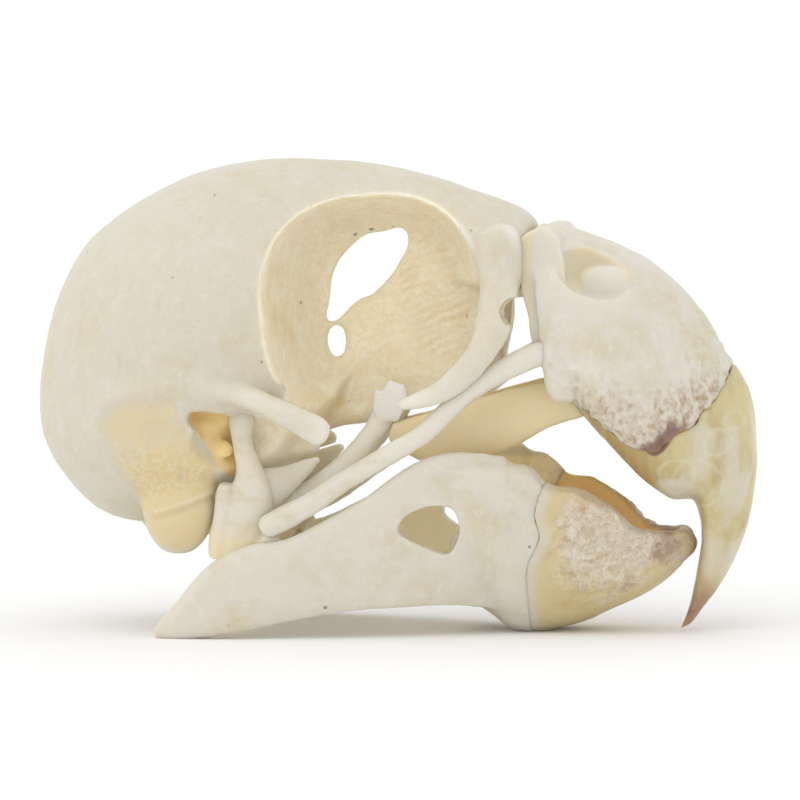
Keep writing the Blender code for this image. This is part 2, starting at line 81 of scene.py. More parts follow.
@dataclass
class Shell:
    """A surface as points in millimetres and faces that index them."""

    points: Array
    faces: list[tuple[int, ...]]

    def turned_out(self) -> "Shell":
        """Flip the faces where the enclosed volume, summed over face fans, comes out negative.

        Returns:
            The same shell with its faces pointing outwards.
        """
        volume = 0.0
        for sides in {len(face) for face in self.faces}:
            corners = self.points[np.array([face for face in self.faces if len(face) == sides])]
            crossed = np.cross(corners[:, 1:-1], corners[:, 2:])
            volume += float(np.einsum("ij,ikj->", corners[:, 0], crossed))
        if volume < 0:
            self.faces = [face[::-1] for face in self.faces]
        return self


def mesh_of(name: str, points: Array, faces: Sequence[Sequence[int]]) -> bpy.types.Mesh:
    """Put points and faces into a new mesh.

    Args:
        name: Name of the mesh.
        points: Its points.
        faces: Indices of each face's points.

    Returns:
        The mesh.
    """
    mesh = bpy.data.meshes.new(name)
    mesh.from_pydata(points, [], faces)
    return mesh


def placed(x: Array, y: Array | float, z: Array) -> Array:
    """Points with the given coordinates, y one number or one for each point."""
    return np.stack([x, np.broadcast_to(y, x.shape), z], axis=1)


def parted(points: Array) -> tuple[Array, Array, Array]:
    """Every point's x, distance from the mid-plane and z."""
    return points[:, 0], np.abs(points[:, 1]), points[:, 2]


def joined(shells: Sequence[Shell]) -> Shell:
    """Put several shells into one list of points and faces.

    Args:
        shells: Closed shells, which may cross.

    Returns:
        One shell that holds them all.
    """
    faces: list[tuple[int, ...]] = []
    start = 0
    for shell in shells:
        faces.extend(tuple(index + start for index in face) for face in shell.faces)
        start += len(shell.points)
    return Shell(np.vstack([shell.points for shell in shells]), faces)


def spline(rows: Rows, per_span: int, closed: bool = False) -> Array:
    """Smooth curve through rows of numbers: the Catmull-Rom cubic of each four neighbours.

    Args:
        rows: The rows that the curve passes through.
        per_span: Samples between two rows.
        closed: Whether the last row leads back to the first.

    Returns:
        The sampled rows.
    """
    given = np.array(rows, dtype=float)
    if closed:
        padded = np.vstack([given[-1], given, given[0], given[1]])
    else:
        padded = np.vstack([2 * given[0] - given[1], given, 2 * given[-1] - given[-2]])
    first, second, third, fourth = (padded[k : len(padded) - 3 + k, None, :] for k in range(4))
    t = (np.arange(per_span) / per_span)[None, :, None]
    bent = 0.5 * (
        2 * second
        + (third - first) * t
        + (2 * first - 5 * second + 4 * third - fourth) * t**2
        + (3 * second - first - 3 * third + fourth) * t**3
    )
    samples = bent.reshape(-1, given.shape[1])
    return samples if closed else np.vstack([samples, given[-1]])


def superellipse(angles: Array, power: Array | float) -> tuple[Array, Array]:
    """Point on a superellipse: signed cosine and sine, each raised to 2 / power.

    Args:
        angles: Angles in radians.
        power: 2 is an ellipse, more is squarer.

    Returns:
        The two coordinates, from -1 to 1.
    """
    across = np.sign(np.cos(angles)) * np.abs(np.cos(angles)) ** (2 / power)
    upward = np.sign(np.sin(angles)) * np.abs(np.sin(angles)) ** (2 / power)
    return across, upward


def skin(rings: Array) -> Shell:
    """Skin a grid of points, closed round each ring and capped at both ends.

    Args:
        rings: Points as rows, places round the ring, and x, y, z.

    Returns:
        The closed shell.
    """
    rows, sides = rings.shape[:2]
    index = np.arange(rows * sides).reshape(rows, sides)
    after = np.roll(index, -1, axis=1)
    quads = np.stack([index[:-1], after[:-1], after[1:], index[1:]], axis=-1).reshape(-1, 4)
    faces = [tuple(face) for face in quads.tolist()]
    faces.append(tuple(index[0, ::-1].tolist()))
    faces.append(tuple(index[-1].tolist()))
    return Shell(rings.reshape(-1, 3), faces).turned_out()


def carried(
    top: Array,
    bottom: Array,
    half_width: Array,
    power: Array | float,
    across: Array = SIDEWAYS,
    taper: Array | float = 0.0,
    widest: float = 0.5,
    sides: int = 48,
) -> Shell:
    """Superellipse carried along a body: each ring spans a bottom and a top point.

    The side reach is the superellipse's cosine times the half width, less a
    taper towards the top, and the ring is widest at a share of its height.

    Args:
        top: Top point of each ring.
        bottom: Bottom point of each ring.
        half_width: Half width of each ring.
        power: Squareness, 2 for an ellipse.
        across: Unit vector across each ring.
        taper: Share of the width lost at the top and won at the bottom.
        widest: Share of the height where the ring is widest.
        sides: Points round each ring.

    Returns:
        The closed shell.
    """
    angles = np.arange(sides) * 2 * math.pi / sides
    power = np.broadcast_to(np.asarray(power, dtype=float), half_width.shape)[:, None]
    taper = np.broadcast_to(np.asarray(taper, dtype=float), half_width.shape)[:, None]
    side, lift = superellipse(angles[None, :], power)
    share = np.where(lift > 0, widest + lift * (1 - widest), widest + lift * widest)[..., None]
    reach = (side * half_width[:, None] * (1 - taper * lift))[..., None]
    return skin((1 - share) * bottom[:, None] + share * top[:, None] + reach * across[:, None])


def rod(stations: Rows, side: Side, power: float = 2.0, per_span: int = 8, sides: int = 32) -> Shell:
    """Rounded bar: a superellipse carried along a smooth path.

    Args:
        stations: x, distance from the mid-plane, z, half height and half thickness.
        side: Side of the skull.
        power: Squareness of the section.
        per_span: Samples between stations.
        sides: Points round the bar.

    Returns:
        The closed shell.
    """
    rows = spline(stations, per_span)
    path = rows[:, :3] * (1, side.value, 1)
    along = np.gradient(path, axis=0)
    along /= np.linalg.norm(along, axis=1)[:, None]
    across = np.array((0.0, 1.0, 0.0)) - along[:, 1:2] * along
    across /= np.linalg.norm(across, axis=1)[:, None]
    upward = np.cross(across, along) * rows[:, 3:4]
    return carried(path + upward, path - upward, rows[:, 4], power, across, sides=sides)


def blob(
    centre: Sequence[float], half: Sequence[float], power: float = 2.0, tilt: float = 0.0, detail: int = 40
) -> Shell:
    """Superellipsoid over latitude and longitude, tilted about the Y axis.

    Args:
        centre: Its middle.
        half: Half sizes along X, Y and Z.
        power: 2 is an ellipsoid, more is squarer.
        tilt: Turn about Y in degrees.
        detail: Points round it.

    Returns:
        The closed shell.
    """
    down = np.linspace(0, math.pi, detail // 2 + 1)[1:-1, None]
    around = (np.arange(detail) * 2 * math.pi / detail)[None, :]
    spread = np.sin(down) ** (2 / power)
    height = np.sign(np.cos(down)) * np.abs(np.cos(down)) ** (2 / power)
    u, v = superellipse(around, power)
    x, y = u * spread * half[0], v * spread * half[1]
    z = np.broadcast_to(height * half[2], x.shape)
    turn = math.radians(tilt)
    turned = (x * math.cos(turn) + z * math.sin(turn), y, z * math.cos(turn) - x * math.sin(turn))
    return skin(np.stack(turned, axis=-1) + np.asarray(centre, dtype=float))


def slab(outline: Array, inner: float, outer: float) -> Shell:
    """Plate of one side outline between two distances along Y.

    Args:
        outline: Rows of x and z.
        inner: First distance.
        outer: Second distance.

    Returns:
        The closed shell.
    """
    x, z = np.asarray(outline, dtype=float).T
    rings = np.stack([np.stack([x, np.full_like(x, y), z], axis=-1) for y in (inner, outer)])
    return skin(rings)


def hashed(cells: NDArray[np.int64], seed: int) -> Array:
    """Random number for each cell, by a multiply and shift hash of its indices.

    Args:
        cells: Three whole numbers for each cell.
        seed: Which numbers to take.

    Returns:
        One number from 0 to 1 for each cell.
    """
    mixed = cells[..., 0] * 374761393 + cells[..., 1] * 668265263 + cells[..., 2] * 2147483629
    mixed = mixed + seed * 1274126177
    mixed = (mixed ^ (mixed >> 13)) * 1274126177
    mixed = mixed ^ (mixed >> 16)
    return (mixed & 0xFFFFFF) / 0xFFFFFF


def cloud(points: Array, size: float | Sequence[float], seed: int) -> Array:
    """Smooth value noise from -1 to 1: random cell corners blended by a cubic.

    Args:
        points: Points in millimetres.
        size: Width of a feature, the same on all axes or one for each.
        seed: Which noise to take.

    Returns:
        One value a point.
    """
    scaled = points / np.asarray(size, dtype=float)
    cell = np.floor(scaled).astype(np.int64)
    part = scaled - cell
    part = part * part * (3 - 2 * part)
    total = np.zeros(len(points))
    for corner in product((0, 1), repeat=3):
        weight = np.prod(np.where(corner, part, 1 - part), axis=-1)
        total += weight * hashed(cell + np.array(corner), seed)
    return total * 2 - 1


def rough(points: Array, size: float | Sequence[float], octaves: int, seed: int) -> Array:
    """Sum of clouds, each half the width and half the height of the one before.

    Args:
        points: Points in millimetres.
        size: Width of the widest feature.
        octaves: How many clouds.
        seed: Which noise to take.

    Returns:
        One value a point.
    """
    scale = np.asarray(size, dtype=float)
    layers = [cloud(points, scale / 2**k, seed + k) / 2**k for k in range(octaves)]
    return np.sum(layers, axis=0)


def pits(points: Array, size: float, seed: int, share: float = 1.0) -> Array:
    """Round pits, one a cell at a random place: 1 at a pit's centre, 0 past its edge.

    Args:
        points: Points in millimetres.
        size: Cell width.
        seed: Which pits to take.
        share: Share of the cells that hold a pit.

    Returns:
        Depth from 0 to 1 a point.
    """
    scaled = points / size
    cell = np.floor(scaled).astype(np.int64)
    deepest = np.zeros(len(points))
    for step in product((-1, 0, 1), repeat=3):
        other = cell + np.array(step)
        place = np.stack([hashed(other, seed + axis) for axis in range(3)], axis=-1)
        width = 0.25 + 0.3 * hashed(other, seed + 3)
        held = hashed(other, seed + 4) < share
        gap = np.linalg.norm(other + place - scaled, axis=-1)
        deepest = np.maximum(deepest, held * np.clip(1 - (gap / width) ** 2, 0, 1))
    return deepest


def eased(values: Array, low: float, high: float) -> Array:
    """Cubic step from 0 at low to 1 at high."""
    t = np.clip((values - low) / (high - low), 0, 1)
    return t * t * (3 - 2 * t)


def beside(points: Array, line: Rows) -> Array:
    """Distance in the side view from each point to a line of x and z.

    Args:
        points: Points in millimetres.
        line: Rows of x and z.

    Returns:
        One distance a point.
    """
    flat = points[:, [0, 2]]
    ends = np.asarray(line, dtype=float)
    nearest = np.full(len(points), np.inf)
    for start, end in zip(ends, ends[1:]):
        span = end - start
        t = np.clip((flat - start) @ span / (span @ span), 0, 1)
        nearest = np.minimum(nearest, np.linalg.norm(flat - start - t[:, None] * span, axis=1))
    return nearest


def within(points: Array, centre: Sequence[float], half: Sequence[float]) -> Array:
    """Soft mask of an ellipse in the side view: 1 less the squared distance as a share of its size.

    Args:
        points: Points in millimetres.
        centre: x and z of its middle.
        half: Half sizes along X and Z.

    Returns:
        1 at its middle, 0 at its rim and beyond.
    """
    x = (points[:, 0] - centre[0]) / half[0]
    z = (points[:, 2] - centre[1]) / half[1]
    return np.clip(1 - x * x - z * z, 0, 1)


def depth_inside(points: Array, outline: Rows) -> Array:
    """Distance in the side view into a closed outline, below 0 outside it.

    A point is inside where a ray along X crosses the outline an odd number of times.

    Args:
        points: Points in millimetres.
        outline: Rows of x and z, without the first row again.

    Returns:
        One distance a point.
    """
    loop = np.vstack([outline, outline[:1]])
    x, z = points[:, 0], points[:, 2]
    crossed = np.zeros(len(points), dtype=int)
    for (x0, z0), (x1, z1) in zip(loop, loop[1:]):
        between = (z0 > z) != (z1 > z)
        rise = z1 - z0 if z1 != z0 else 1.0
        crossed += between & (x < x0 + (z - z0) * (x1 - x0) / rise)
    gap = beside(points, loop)
    return np.where(crossed % 2 == 1, gap, -gap)


def bell(distance: Array, width: float) -> Array:
    """Smooth bump over a distance: 1 at 0, falling off within the width."""
    return np.exp(-((distance / width) ** 2))


def mesh_rows(
    data: bpy.types.bpy_prop_collection, name: str, width: int, kind: type = np.float32
) -> Array:
    """Numbers that a mesh keeps under a name.

    Args:
        data: Its vertices, normals or edges.
        name: Name of the numbers.
        width: How many each holds.
        kind: Type of number in the mesh.

    Returns:
        One row for each.
    """
    flat = np.empty(len(data) * width, dtype=kind)
    data.foreach_get(name, flat)
    return flat.reshape(-1, width)


class Piece:
    """A bone or sheath while it is shaped, in millimetres."""

    def __init__(self, name: str, shells: Sequence[Shell]) -> None:
        """Make the piece's object from closed shells.

        Args:
            name: Name of the object.
            shells: Shells, which may cross.
        """
        whole = joined(shells)
        self.body = bpy.data.objects.new(name, mesh_of(name, whole.points, whole.faces))
        bpy.context.scene.collection.objects.link(self.body)

    def bake(self) -> None:
        """Apply the live modifiers to the mesh."""
        shown = self.body.evaluated_get(bpy.context.evaluated_depsgraph_get())
        mesh = bpy.data.meshes.new_from_object(shown)
        self.body.modifiers.clear()
        self.body.data = mesh

    def carve(self, cutters: Sequence[Shell]) -> "Piece":
        """Cut shells out of the piece in one Boolean.

        Args:
            cutters: Closed shells.

        Returns:
            The piece.
        """
        group = bpy.data.collections.new("cutters")
        made = [Piece("cutter", [cutter]).body for cutter in cutters]
        for cutter in made:
            group.objects.link(cutter)
        cut = self.body.modifiers.new("carve", "BOOLEAN")
        cut.operation = "DIFFERENCE"
        cut.operand_type = "COLLECTION"
        cut.collection = group
        cut.solver = "EXACT"
        self.bake()
        for cutter in made:
            bpy.data.objects.remove(cutter, do_unlink=True)
        bpy.data.collections.remove(group)
        return self

    def add(self, other: "Piece | Sequence[Shell]") -> "Piece":
        """Lay another piece or more shells into this one's mesh, to be melted in later.

        Args:
            other: The piece, which is used up, or the shells.

        Returns:
            This piece.
        """
        if not isinstance(other, Piece):
            other = Piece("added", other)
        both = [self.shell(), other.shell()]
        bpy.data.objects.remove(other.body, do_unlink=True)
        whole = joined(both)
        self.body.data = mesh_of(self.body.name, whole.points, whole.faces)
        return self

    def shell(self) -> Shell:
        """Points and faces of the piece as it is now."""
        faces = [tuple(face.vertices) for face in self.body.data.polygons]
        return Shell(self.points(), faces)

    def melt(self, voxel: float, rounds: int) -> "Piece":
        """Turn crossing shells into one even skin, smoothed a few times.

        Args:
            voxel: Width of the skin's faces.
            rounds: Smoothing rounds.

        Returns:
            The piece.
        """
        remesh = self.body.modifiers.new("melt", "REMESH")
        remesh.mode = "VOXEL"
        remesh.voxel_size = voxel
        self.bake()
        self.keep_largest()
        self.place(self.relaxed(rounds))
        return self

    def keep_largest(self) -> None:
        """Drop all but the surface with the most points, found by spreading the lowest label."""
        edges = self.edges()
        label = np.arange(len(self.body.data.vertices))
        while True:
            low = np.minimum(label[edges[:, 0]], label[edges[:, 1]])
            spread = label.copy()
            np.minimum.at(spread, edges[:, 0], low)
            np.minimum.at(spread, edges[:, 1], low)
            spread = spread[spread]
            if np.array_equal(spread, label):
                break
            label = spread
        names, counts = np.unique(label, return_counts=True)
        if len(names) == 1:
            return
        kept = label == names[np.argmax(counts)]
        index = np.cumsum(kept) - 1
        held = [face.vertices for face in self.body.data.polygons if kept[face.vertices[0]]]
        faces = [tuple(index[list(corners)].tolist()) for corners in held]
        self.body.data = mesh_of(self.body.name, self.points()[kept], faces)

    def edges(self) -> NDArray[np.int64]:
        """Pairs of vertex indices."""
        return mesh_rows(self.body.data.edges, "vertices", 2, np.int32).astype(np.int64)

    def points(self) -> Array:
        """Vertex places in millimetres."""
        return mesh_rows(self.body.data.vertices, "co", 3).astype(float)

    def normals(self) -> Array:
        """Unit normal at each vertex."""
        return mesh_rows(self.body.data.vertex_normals, "vector", 3).astype(float)

    def place(self, points: Array) -> None:
        """Set the vertex places."""
        self.body.data.vertices.foreach_set("co", points.astype(np.float32).ravel())
        self.body.data.update()

    def averaged(self, values: Array, rounds: int) -> Array:
        """Blur values over the skin: each becomes the mean of itself and its neighbours' mean.

        Args:
            values: One row or number a vertex.
            rounds: How often.

        Returns:
            The blurred values.
        """
        edges = self.edges()
        count = np.bincount(edges.ravel(), minlength=len(values)).astype(float)
        columns = values[:, None] if values.ndim == 1 else values
        for _ in range(rounds):
            summed = [
                np.bincount(edges[:, 0], column[edges[:, 1]], len(count))
                + np.bincount(edges[:, 1], column[edges[:, 0]], len(count))
                for column in columns.T
            ]
            columns = (columns + np.stack(summed, axis=1) / count[:, None]) / 2
        return columns[:, 0] if values.ndim == 1 else columns

    def relaxed(self, rounds: int) -> Array:
        """Vertex places after smoothing."""
        return self.averaged(self.points(), rounds)

    def push(self, amount: Array) -> None:
        """Move each vertex along its normal by a number of millimetres."""
        self.place(self.points() + self.normals() * amount[:, None])

    def hollow(self, rounds: int, depth: float) -> Array:
        """How hollow the skin is: the smoothed skin's height over it, as a share of a depth.

        Args:
            rounds: Smoothing rounds, more for wider hollows.
            depth: Height that counts as 1.

        Returns:
            From -1 on a ridge to 1 in a hollow.
        """
        lift = np.einsum("ij,ij->i", self.relaxed(rounds) - self.points(), self.normals())
        return np.clip(lift / depth, -1, 1)

    def paint(self, name: str, values: Array) -> None:
        """Store a mask on the vertices for the material to read."""
        mask = self.body.data.attributes.new(name, "FLOAT", "POINT")
        mask.data.foreach_set("value", np.clip(values, -1, 1).astype(np.float32))

    def finish(self, material: bpy.types.Material, slot: Slot, *nodes: str) -> None:
        """Turn the piece to metres, dress it and tie it to the frame.

        Args:
            material: Its finish.
            slot: The material slot, not used.
            nodes: CAD nodes that it stands for.
        """
        self.place(self.points() * MM)
        self.body.data.shade_smooth()
        self.body.data.materials.clear()
        self.body.data.materials.append(material)
        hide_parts(*nodes)
        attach(self.body, "root")
        self.body.data.calc_loop_triangles()
        log.info("%s: %d triangles", self.body.name, len(self.body.data.loop_triangles))


def linear(hexed: str) -> tuple[float, float, float, float]:
    """Linear colour of an sRGB hex value, by the sRGB curve.

    Args:
        hexed: A value such as #E9E4DA.

    Returns:
        Red, green, blue and an alpha of 1.
    """
    parts = [int(hexed[k : k + 2], 16) / 255 for k in (1, 3, 5)]
    red, green, blue = (p / 12.92 if p <= 0.04045 else ((p + 0.055) / 1.055) ** 2.4 for p in parts)
    return (red, green, blue, 1.0)


def add_node(tree: Tree, kind: str, links: dict | None = None, **settings) -> bpy.types.Node:
    """Add a shader node with its settings, and set or link its inputs.

    Args:
        tree: Tree that gets the node.
        kind: Node type.
        links: Socket or value for each input, by name or index.
        settings: Properties of the node.

    Returns:
        The node.
    """
    made = tree.nodes.new(kind)
    for name, value in settings.items():
        setattr(made, name, value)
    for key, value in (links or {}).items():
        if isinstance(value, Socket):
            tree.links.new(value, made.inputs[key])
        else:
            made.inputs[key].default_value = value
    return made


def maths(tree: Tree, operation: str, *values: Socket | float, clamp: bool = False) -> Socket:
    """Output of a maths node on sockets or numbers."""
    links = dict(enumerate(values))
    return add_node(tree, "ShaderNodeMath", links, operation=operation, use_clamp=clamp).outputs[0]


def painted(tree: Tree, mask: str) -> Socket:
    """Value of a painted mask."""
    return add_node(tree, "ShaderNodeAttribute", attribute_name=mask).outputs["Fac"]


def ranged(
    tree: Tree, value: Socket, start: tuple[float, float], end: tuple[float, float], kind: str = "SMOOTHSTEP"
) -> Socket:
    """Value moved from one range to another, eased between their ends."""
    links = {"Value": value, "From Min": start[0], "From Max": start[1], "To Min": end[0], "To Max": end[1]}
    return add_node(tree, "ShaderNodeMapRange", links, interpolation_type=kind).outputs["Result"]


def noise(tree: Tree, size: float, stretch: Triple = EVEN) -> Socket:
    """Fractal noise on the object's own millimetres, stretched along the axes.

    Args:
        tree: Tree of the material.
        size: Feature width in millimetres.
        stretch: Share of that width along each axis.

    Returns:
        The noise from 0 to 1.
    """
    place = add_node(tree, "ShaderNodeTexCoord").outputs["Object"]
    scale = tuple(1 / (MM * share) for share in stretch)
    place = add_node(tree, "ShaderNodeMapping", {"Vector": place, "Scale": scale}).outputs["Vector"]
    links = {"Vector": place, "Scale": 1 / size, "Detail": 5.0, "Roughness": 0.6}
    return add_node(tree, "ShaderNodeTexNoise", links).outputs["Fac"]


@dataclass(frozen=True)
class Veil:
    """A colour laid over the finish where a mask or a noise is strong.

    Either mask names a painted attribute, or size is the noise's feature width in millimetres.
    With veins, thin lines where the noise crosses its middle take the colour, inside the mask.
    """

    colour: str
    strength: float
    mask: str = ""
    size: float = 0.0
    low: float = 0.0
    high: float = 1.0
    stretch: Triple = EVEN
    ragged: float = 0.0
    veins: float = 0.0


@dataclass(frozen=True)
class Grain:
    """Fine bump on a finish: noise of a feature width in millimetres, fading with a painted mask."""

    size: float
    height: float
    stretch: Triple = EVEN
    mask: str = ""


@dataclass(frozen=True)
class Finish:
    """A material: base colour, veils over it from the first up, grain, gloss and translucency."""

    name: str
    base: str
    veils: tuple[Veil, ...]
    grains: tuple[Grain, ...]
    roughness: tuple[float, float]
    ior: float
    depth: float
    glow: Triple
    translucency: float
    coat: float = 0.0

    def veil_factor(self, tree: Tree, veil: Veil) -> Socket:
        """Strength of a veil at each place.

        Thin lines show where the noise is near its middle. Otherwise the mask or
        noise is eased between the veil's low and high.

        Args:
            tree: Tree of the material.
            veil: The veil.

        Returns:
            Its share of the colour.
        """
        if veil.veins:
            off = maths(tree, "SUBTRACT", noise(tree, veil.size, veil.stretch), 0.5)
            line = ranged(tree, maths(tree, "ABSOLUTE", off), (0.0, veil.veins), (veil.strength, 0.0))
            return maths(tree, "MULTIPLY", line, painted(tree, veil.mask), clamp=True)
        value = painted(tree, veil.mask) if veil.mask else noise(tree, veil.size, veil.stretch)
        if veil.mask and veil.ragged:
            edge = noise(tree, veil.size, veil.stretch)
            shift = maths(tree, "MULTIPLY_ADD", edge, veil.ragged, -veil.ragged / 2)
            value = maths(tree, "ADD", value, shift)
        return ranged(tree, value, (veil.low, veil.high), (0.0, veil.strength))

    def bump(self, tree: Tree) -> Socket:
        """Normal bent by every grain in turn.

        Args:
            tree: Tree of the material.

        Returns:
            The normal.
        """
        links: dict[str, Socket | float] = {}
        for grain in self.grains:
            links["Height"] = noise(tree, grain.size, grain.stretch)
            links["Distance"] = grain.height * MM
            links["Strength"] = painted(tree, grain.mask) if grain.mask else 1.0
            links["Normal"] = add_node(tree, "ShaderNodeBump", links).outputs["Normal"]
        return links["Normal"]

    def material(self) -> bpy.types.Material:
        """Build the node tree.

        Returns:
            The material.
        """
        material = bpy.data.materials.new(self.name)
        material.use_nodes = True
        tree = material.node_tree
        colour: Socket | tuple = linear(self.base)
        for veil in self.veils:
            links = {"Factor": self.veil_factor(tree, veil), 6: colour, 7: linear(veil.colour)}
            colour = add_node(tree, "ShaderNodeMix", links, data_type="RGBA").outputs[2]
        gloss = ranged(tree, noise(tree, 1.3), (0.3, 0.7), self.roughness, "LINEAR")
        inputs = tree.nodes["Principled BSDF"].inputs
        for name, socket in (("Base Color", colour), ("Normal", self.bump(tree)), ("Roughness", gloss)):
            tree.links.new(socket, inputs[name])
        inputs["IOR"].default_value = self.ior
        inputs["Subsurface Weight"].default_value = self.translucency
        inputs["Subsurface Radius"].default_value = self.glow
        inputs["Subsurface Scale"].default_value = self.depth * MM
        inputs["Coat Weight"].default_value = self.coat
        return material


# Cleaned, sun-dried bone: matt ivory, yellower in the hollows partly from fat that stayed there and partly
# as painted shade, whiter on worn edges, and paler on the shaded eye sockets as painted light
BRAINCASE_BONE = Finish(
    name="dry_ivory_bone",
    base="#D4CEBE",
    veils=(
        Veil("#D0C29E", 0.5, size=3.6, low=0.46, high=0.74),
        Veil("#CBBE9D", 0.4, size=0.9, low=0.5, high=0.74, stretch=(1.0, 1.0, 2.0)),
        Veil("#E1DED5", 0.25, size=0.5, low=0.5, high=0.68),
        Veil("#C8BA96", 0.3, size=0.16, low=0.52, high=0.72),
        # painted light: a paler colour on the shaded eye sockets' walls, cheek, floor and notch, with ragged
        # darker yellow patches and yellow veins in it
        Veil("#F6EED8", 1.0, mask="inner", low=0.0, high=0.9),
        Veil("#DCC596", 0.3, mask="inner", low=0.8, high=1.3, size=0.8, ragged=1.2),
        Veil("#E3CF9F", 0.35, mask="inner", size=0.5, veins=0.05),
        # yellow tint in hollows, creases and towards the bottom, partly the bone's own yellowing and partly
        # painted shade
        Veil("#DECB9B", 0.9, mask="yellowing_and_painted_shade", low=0.1, high=1.0, size=0.7, ragged=0.7),
        # ochre of the ear and spongy patches, and on the cheek's tip painted light: a golden tone where the
        # bone lies in shade
        Veil("#EED08A", 0.9, mask="ochre", low=0.15, high=1.0, size=0.5, ragged=0.7),
        Veil("#E2DFD6", 0.8, mask="ridge", low=0.2, high=0.9),
        Veil("#EAE4D0", 0.5, mask="sponge", size=0.4, veins=0.06),
        Veil("#8A6A45", 0.8, mask="speck", low=0.25, high=0.8),
    ),
    grains=(Grain(0.5, 0.025), Grain(0.15, 0.014), Grain(0.25, 0.06, mask="sponge")),
    roughness=(0.42, 0.6),
    ior=1.5,
    depth=1.2,
    glow=(1.0, 0.75, 0.48),
    translucency=0.55,
)

# Thin smooth bone of bars and palate: a little glossier and more translucent, warm in its hollows partly as
# painted shade, and paler on its shaded fronts as painted light
THIN_BONE = Finish(
    name="thin_warm_bone",
    base="#DCD8CD",
    veils=(
        Veil("#CABF9F", 0.65, size=1.2, low=0.45, high=0.72, stretch=(2.0, 1.0, 1.0)),
        Veil("#DEDAD0", 0.6, size=0.35, low=0.5, high=0.7),
        # yellow tint: the bone's own yellow, and painted shade in its hollows
        Veil("#E8D8AD", 1.0, mask="yellowing_and_painted_shade", low=0.0, high=1.0, size=0.8, ragged=0.3),
        # whiter on worn convex edges, and painted light on the shaded fronts of the quadrates and pterygoids
        # and on the torn flake
        Veil("#F6F4EF", 0.8, mask="ridge", low=0.25, high=0.9),
    ),
    grains=(Grain(0.3, 0.01, stretch=(3.0, 1.0, 1.0)), Grain(0.12, 0.006)),
    roughness=(0.38, 0.52),
    ior=1.5,
    depth=1.0,
    glow=(1.0, 0.74, 0.46),
    translucency=0.6,
)

# Spongy beak bone: chalky, with a worm-like relief, stained purple-brown where the horn grew, yellow in its
# hollows as painted shade, and paler on its shaded inward faces as painted light
BEAK_BONE = Finish(
    name="spongy_beak_bone",
    base="#D9D4C7",
    veils=(
        Veil("#D1C5A6", 0.75, size=2.6, low=0.45, high=0.72),
        Veil("#CBBF9F", 0.35, size=0.8, low=0.5, high=0.74),
        Veil("#E1DED5", 0.45, size=0.4, low=0.5, high=0.68),
        # painted light: a paler colour on the mandible's shaded inward faces
        Veil("#FAEFD0", 1.0, mask="inner", low=0.0, high=0.8),
        # yellow tint in hollows and creases, mostly painted shade
        Veil("#E4D2A4", 0.9, mask="yellowing_and_painted_shade", low=0.1, high=1.0, size=0.9, ragged=0.4),
        Veil("#B08E66", 0.75, mask="sponge", low=0.25, high=1.05, size=0.4, ragged=1.1),
        Veil("#DFDBD1", 0.55, mask="sponge", size=0.6, veins=0.07),
        Veil("#DFDBD2", 0.7, mask="ridge", low=0.2, high=0.9),
        Veil("#7A5648", 0.85, mask="stain", low=0.25, high=0.95, size=0.4, ragged=0.9),
        Veil("#B9822F", 0.95, mask="ochre", low=0.25, high=0.9, size=0.5, ragged=0.4),
        Veil("#7A5A3E", 0.8, mask="speck", low=0.3, high=0.85),
    ),
    grains=(Grain(0.3, 0.02), Grain(0.13, 0.014), Grain(0.3, 0.08, mask="sponge")),
    roughness=(0.45, 0.65),
    ior=1.5,
    depth=1.0,
    glow=(1.0, 0.74, 0.48),
    translucency=0.45,
)

# Keratin of the upper beak: waxy, translucent yellow, with white ring marks and a brown tip
UPPER_KERATIN = Finish(
    name="waxy_beak_keratin",
    base="#CFC293",
    veils=(
        Veil("#B5A26C", 0.85, size=1.6, low=0.42, high=0.72, stretch=(1.0, 1.0, 1.8)),
        Veil("#B39A66", 0.95, mask="band", low=0.1, high=0.9, size=0.5, ragged=0.3, stretch=(0.5, 1.0, 3.0)),
        Veil("#D3CCB8", 0.85, mask="crust", low=0.25, high=0.9, size=0.6, ragged=1.0),
        Veil("#DEDACB", 0.35, mask="rings", low=0.3, high=1.3, size=0.3, ragged=1.3),
        Veil("#A9793B", 0.85, mask="ochre", low=0.2, high=1.0, size=0.8, ragged=0.4),
        Veil("#A1806A", 0.9, mask="tip", low=0.1, high=0.9, size=0.6, ragged=0.5),
        Veil("#6B4638", 0.9, mask="stain", low=0.3, high=0.9, size=0.4, ragged=0.6),
    ),
    grains=(Grain(0.5, 0.02, stretch=(1.0, 1.0, 3.0)), Grain(0.15, 0.008)),
    roughness=(0.28, 0.5),
    ior=1.55,
    depth=1.0,
    glow=(1.0, 0.75, 0.35),
    translucency=0.5,
    coat=0.15,
)

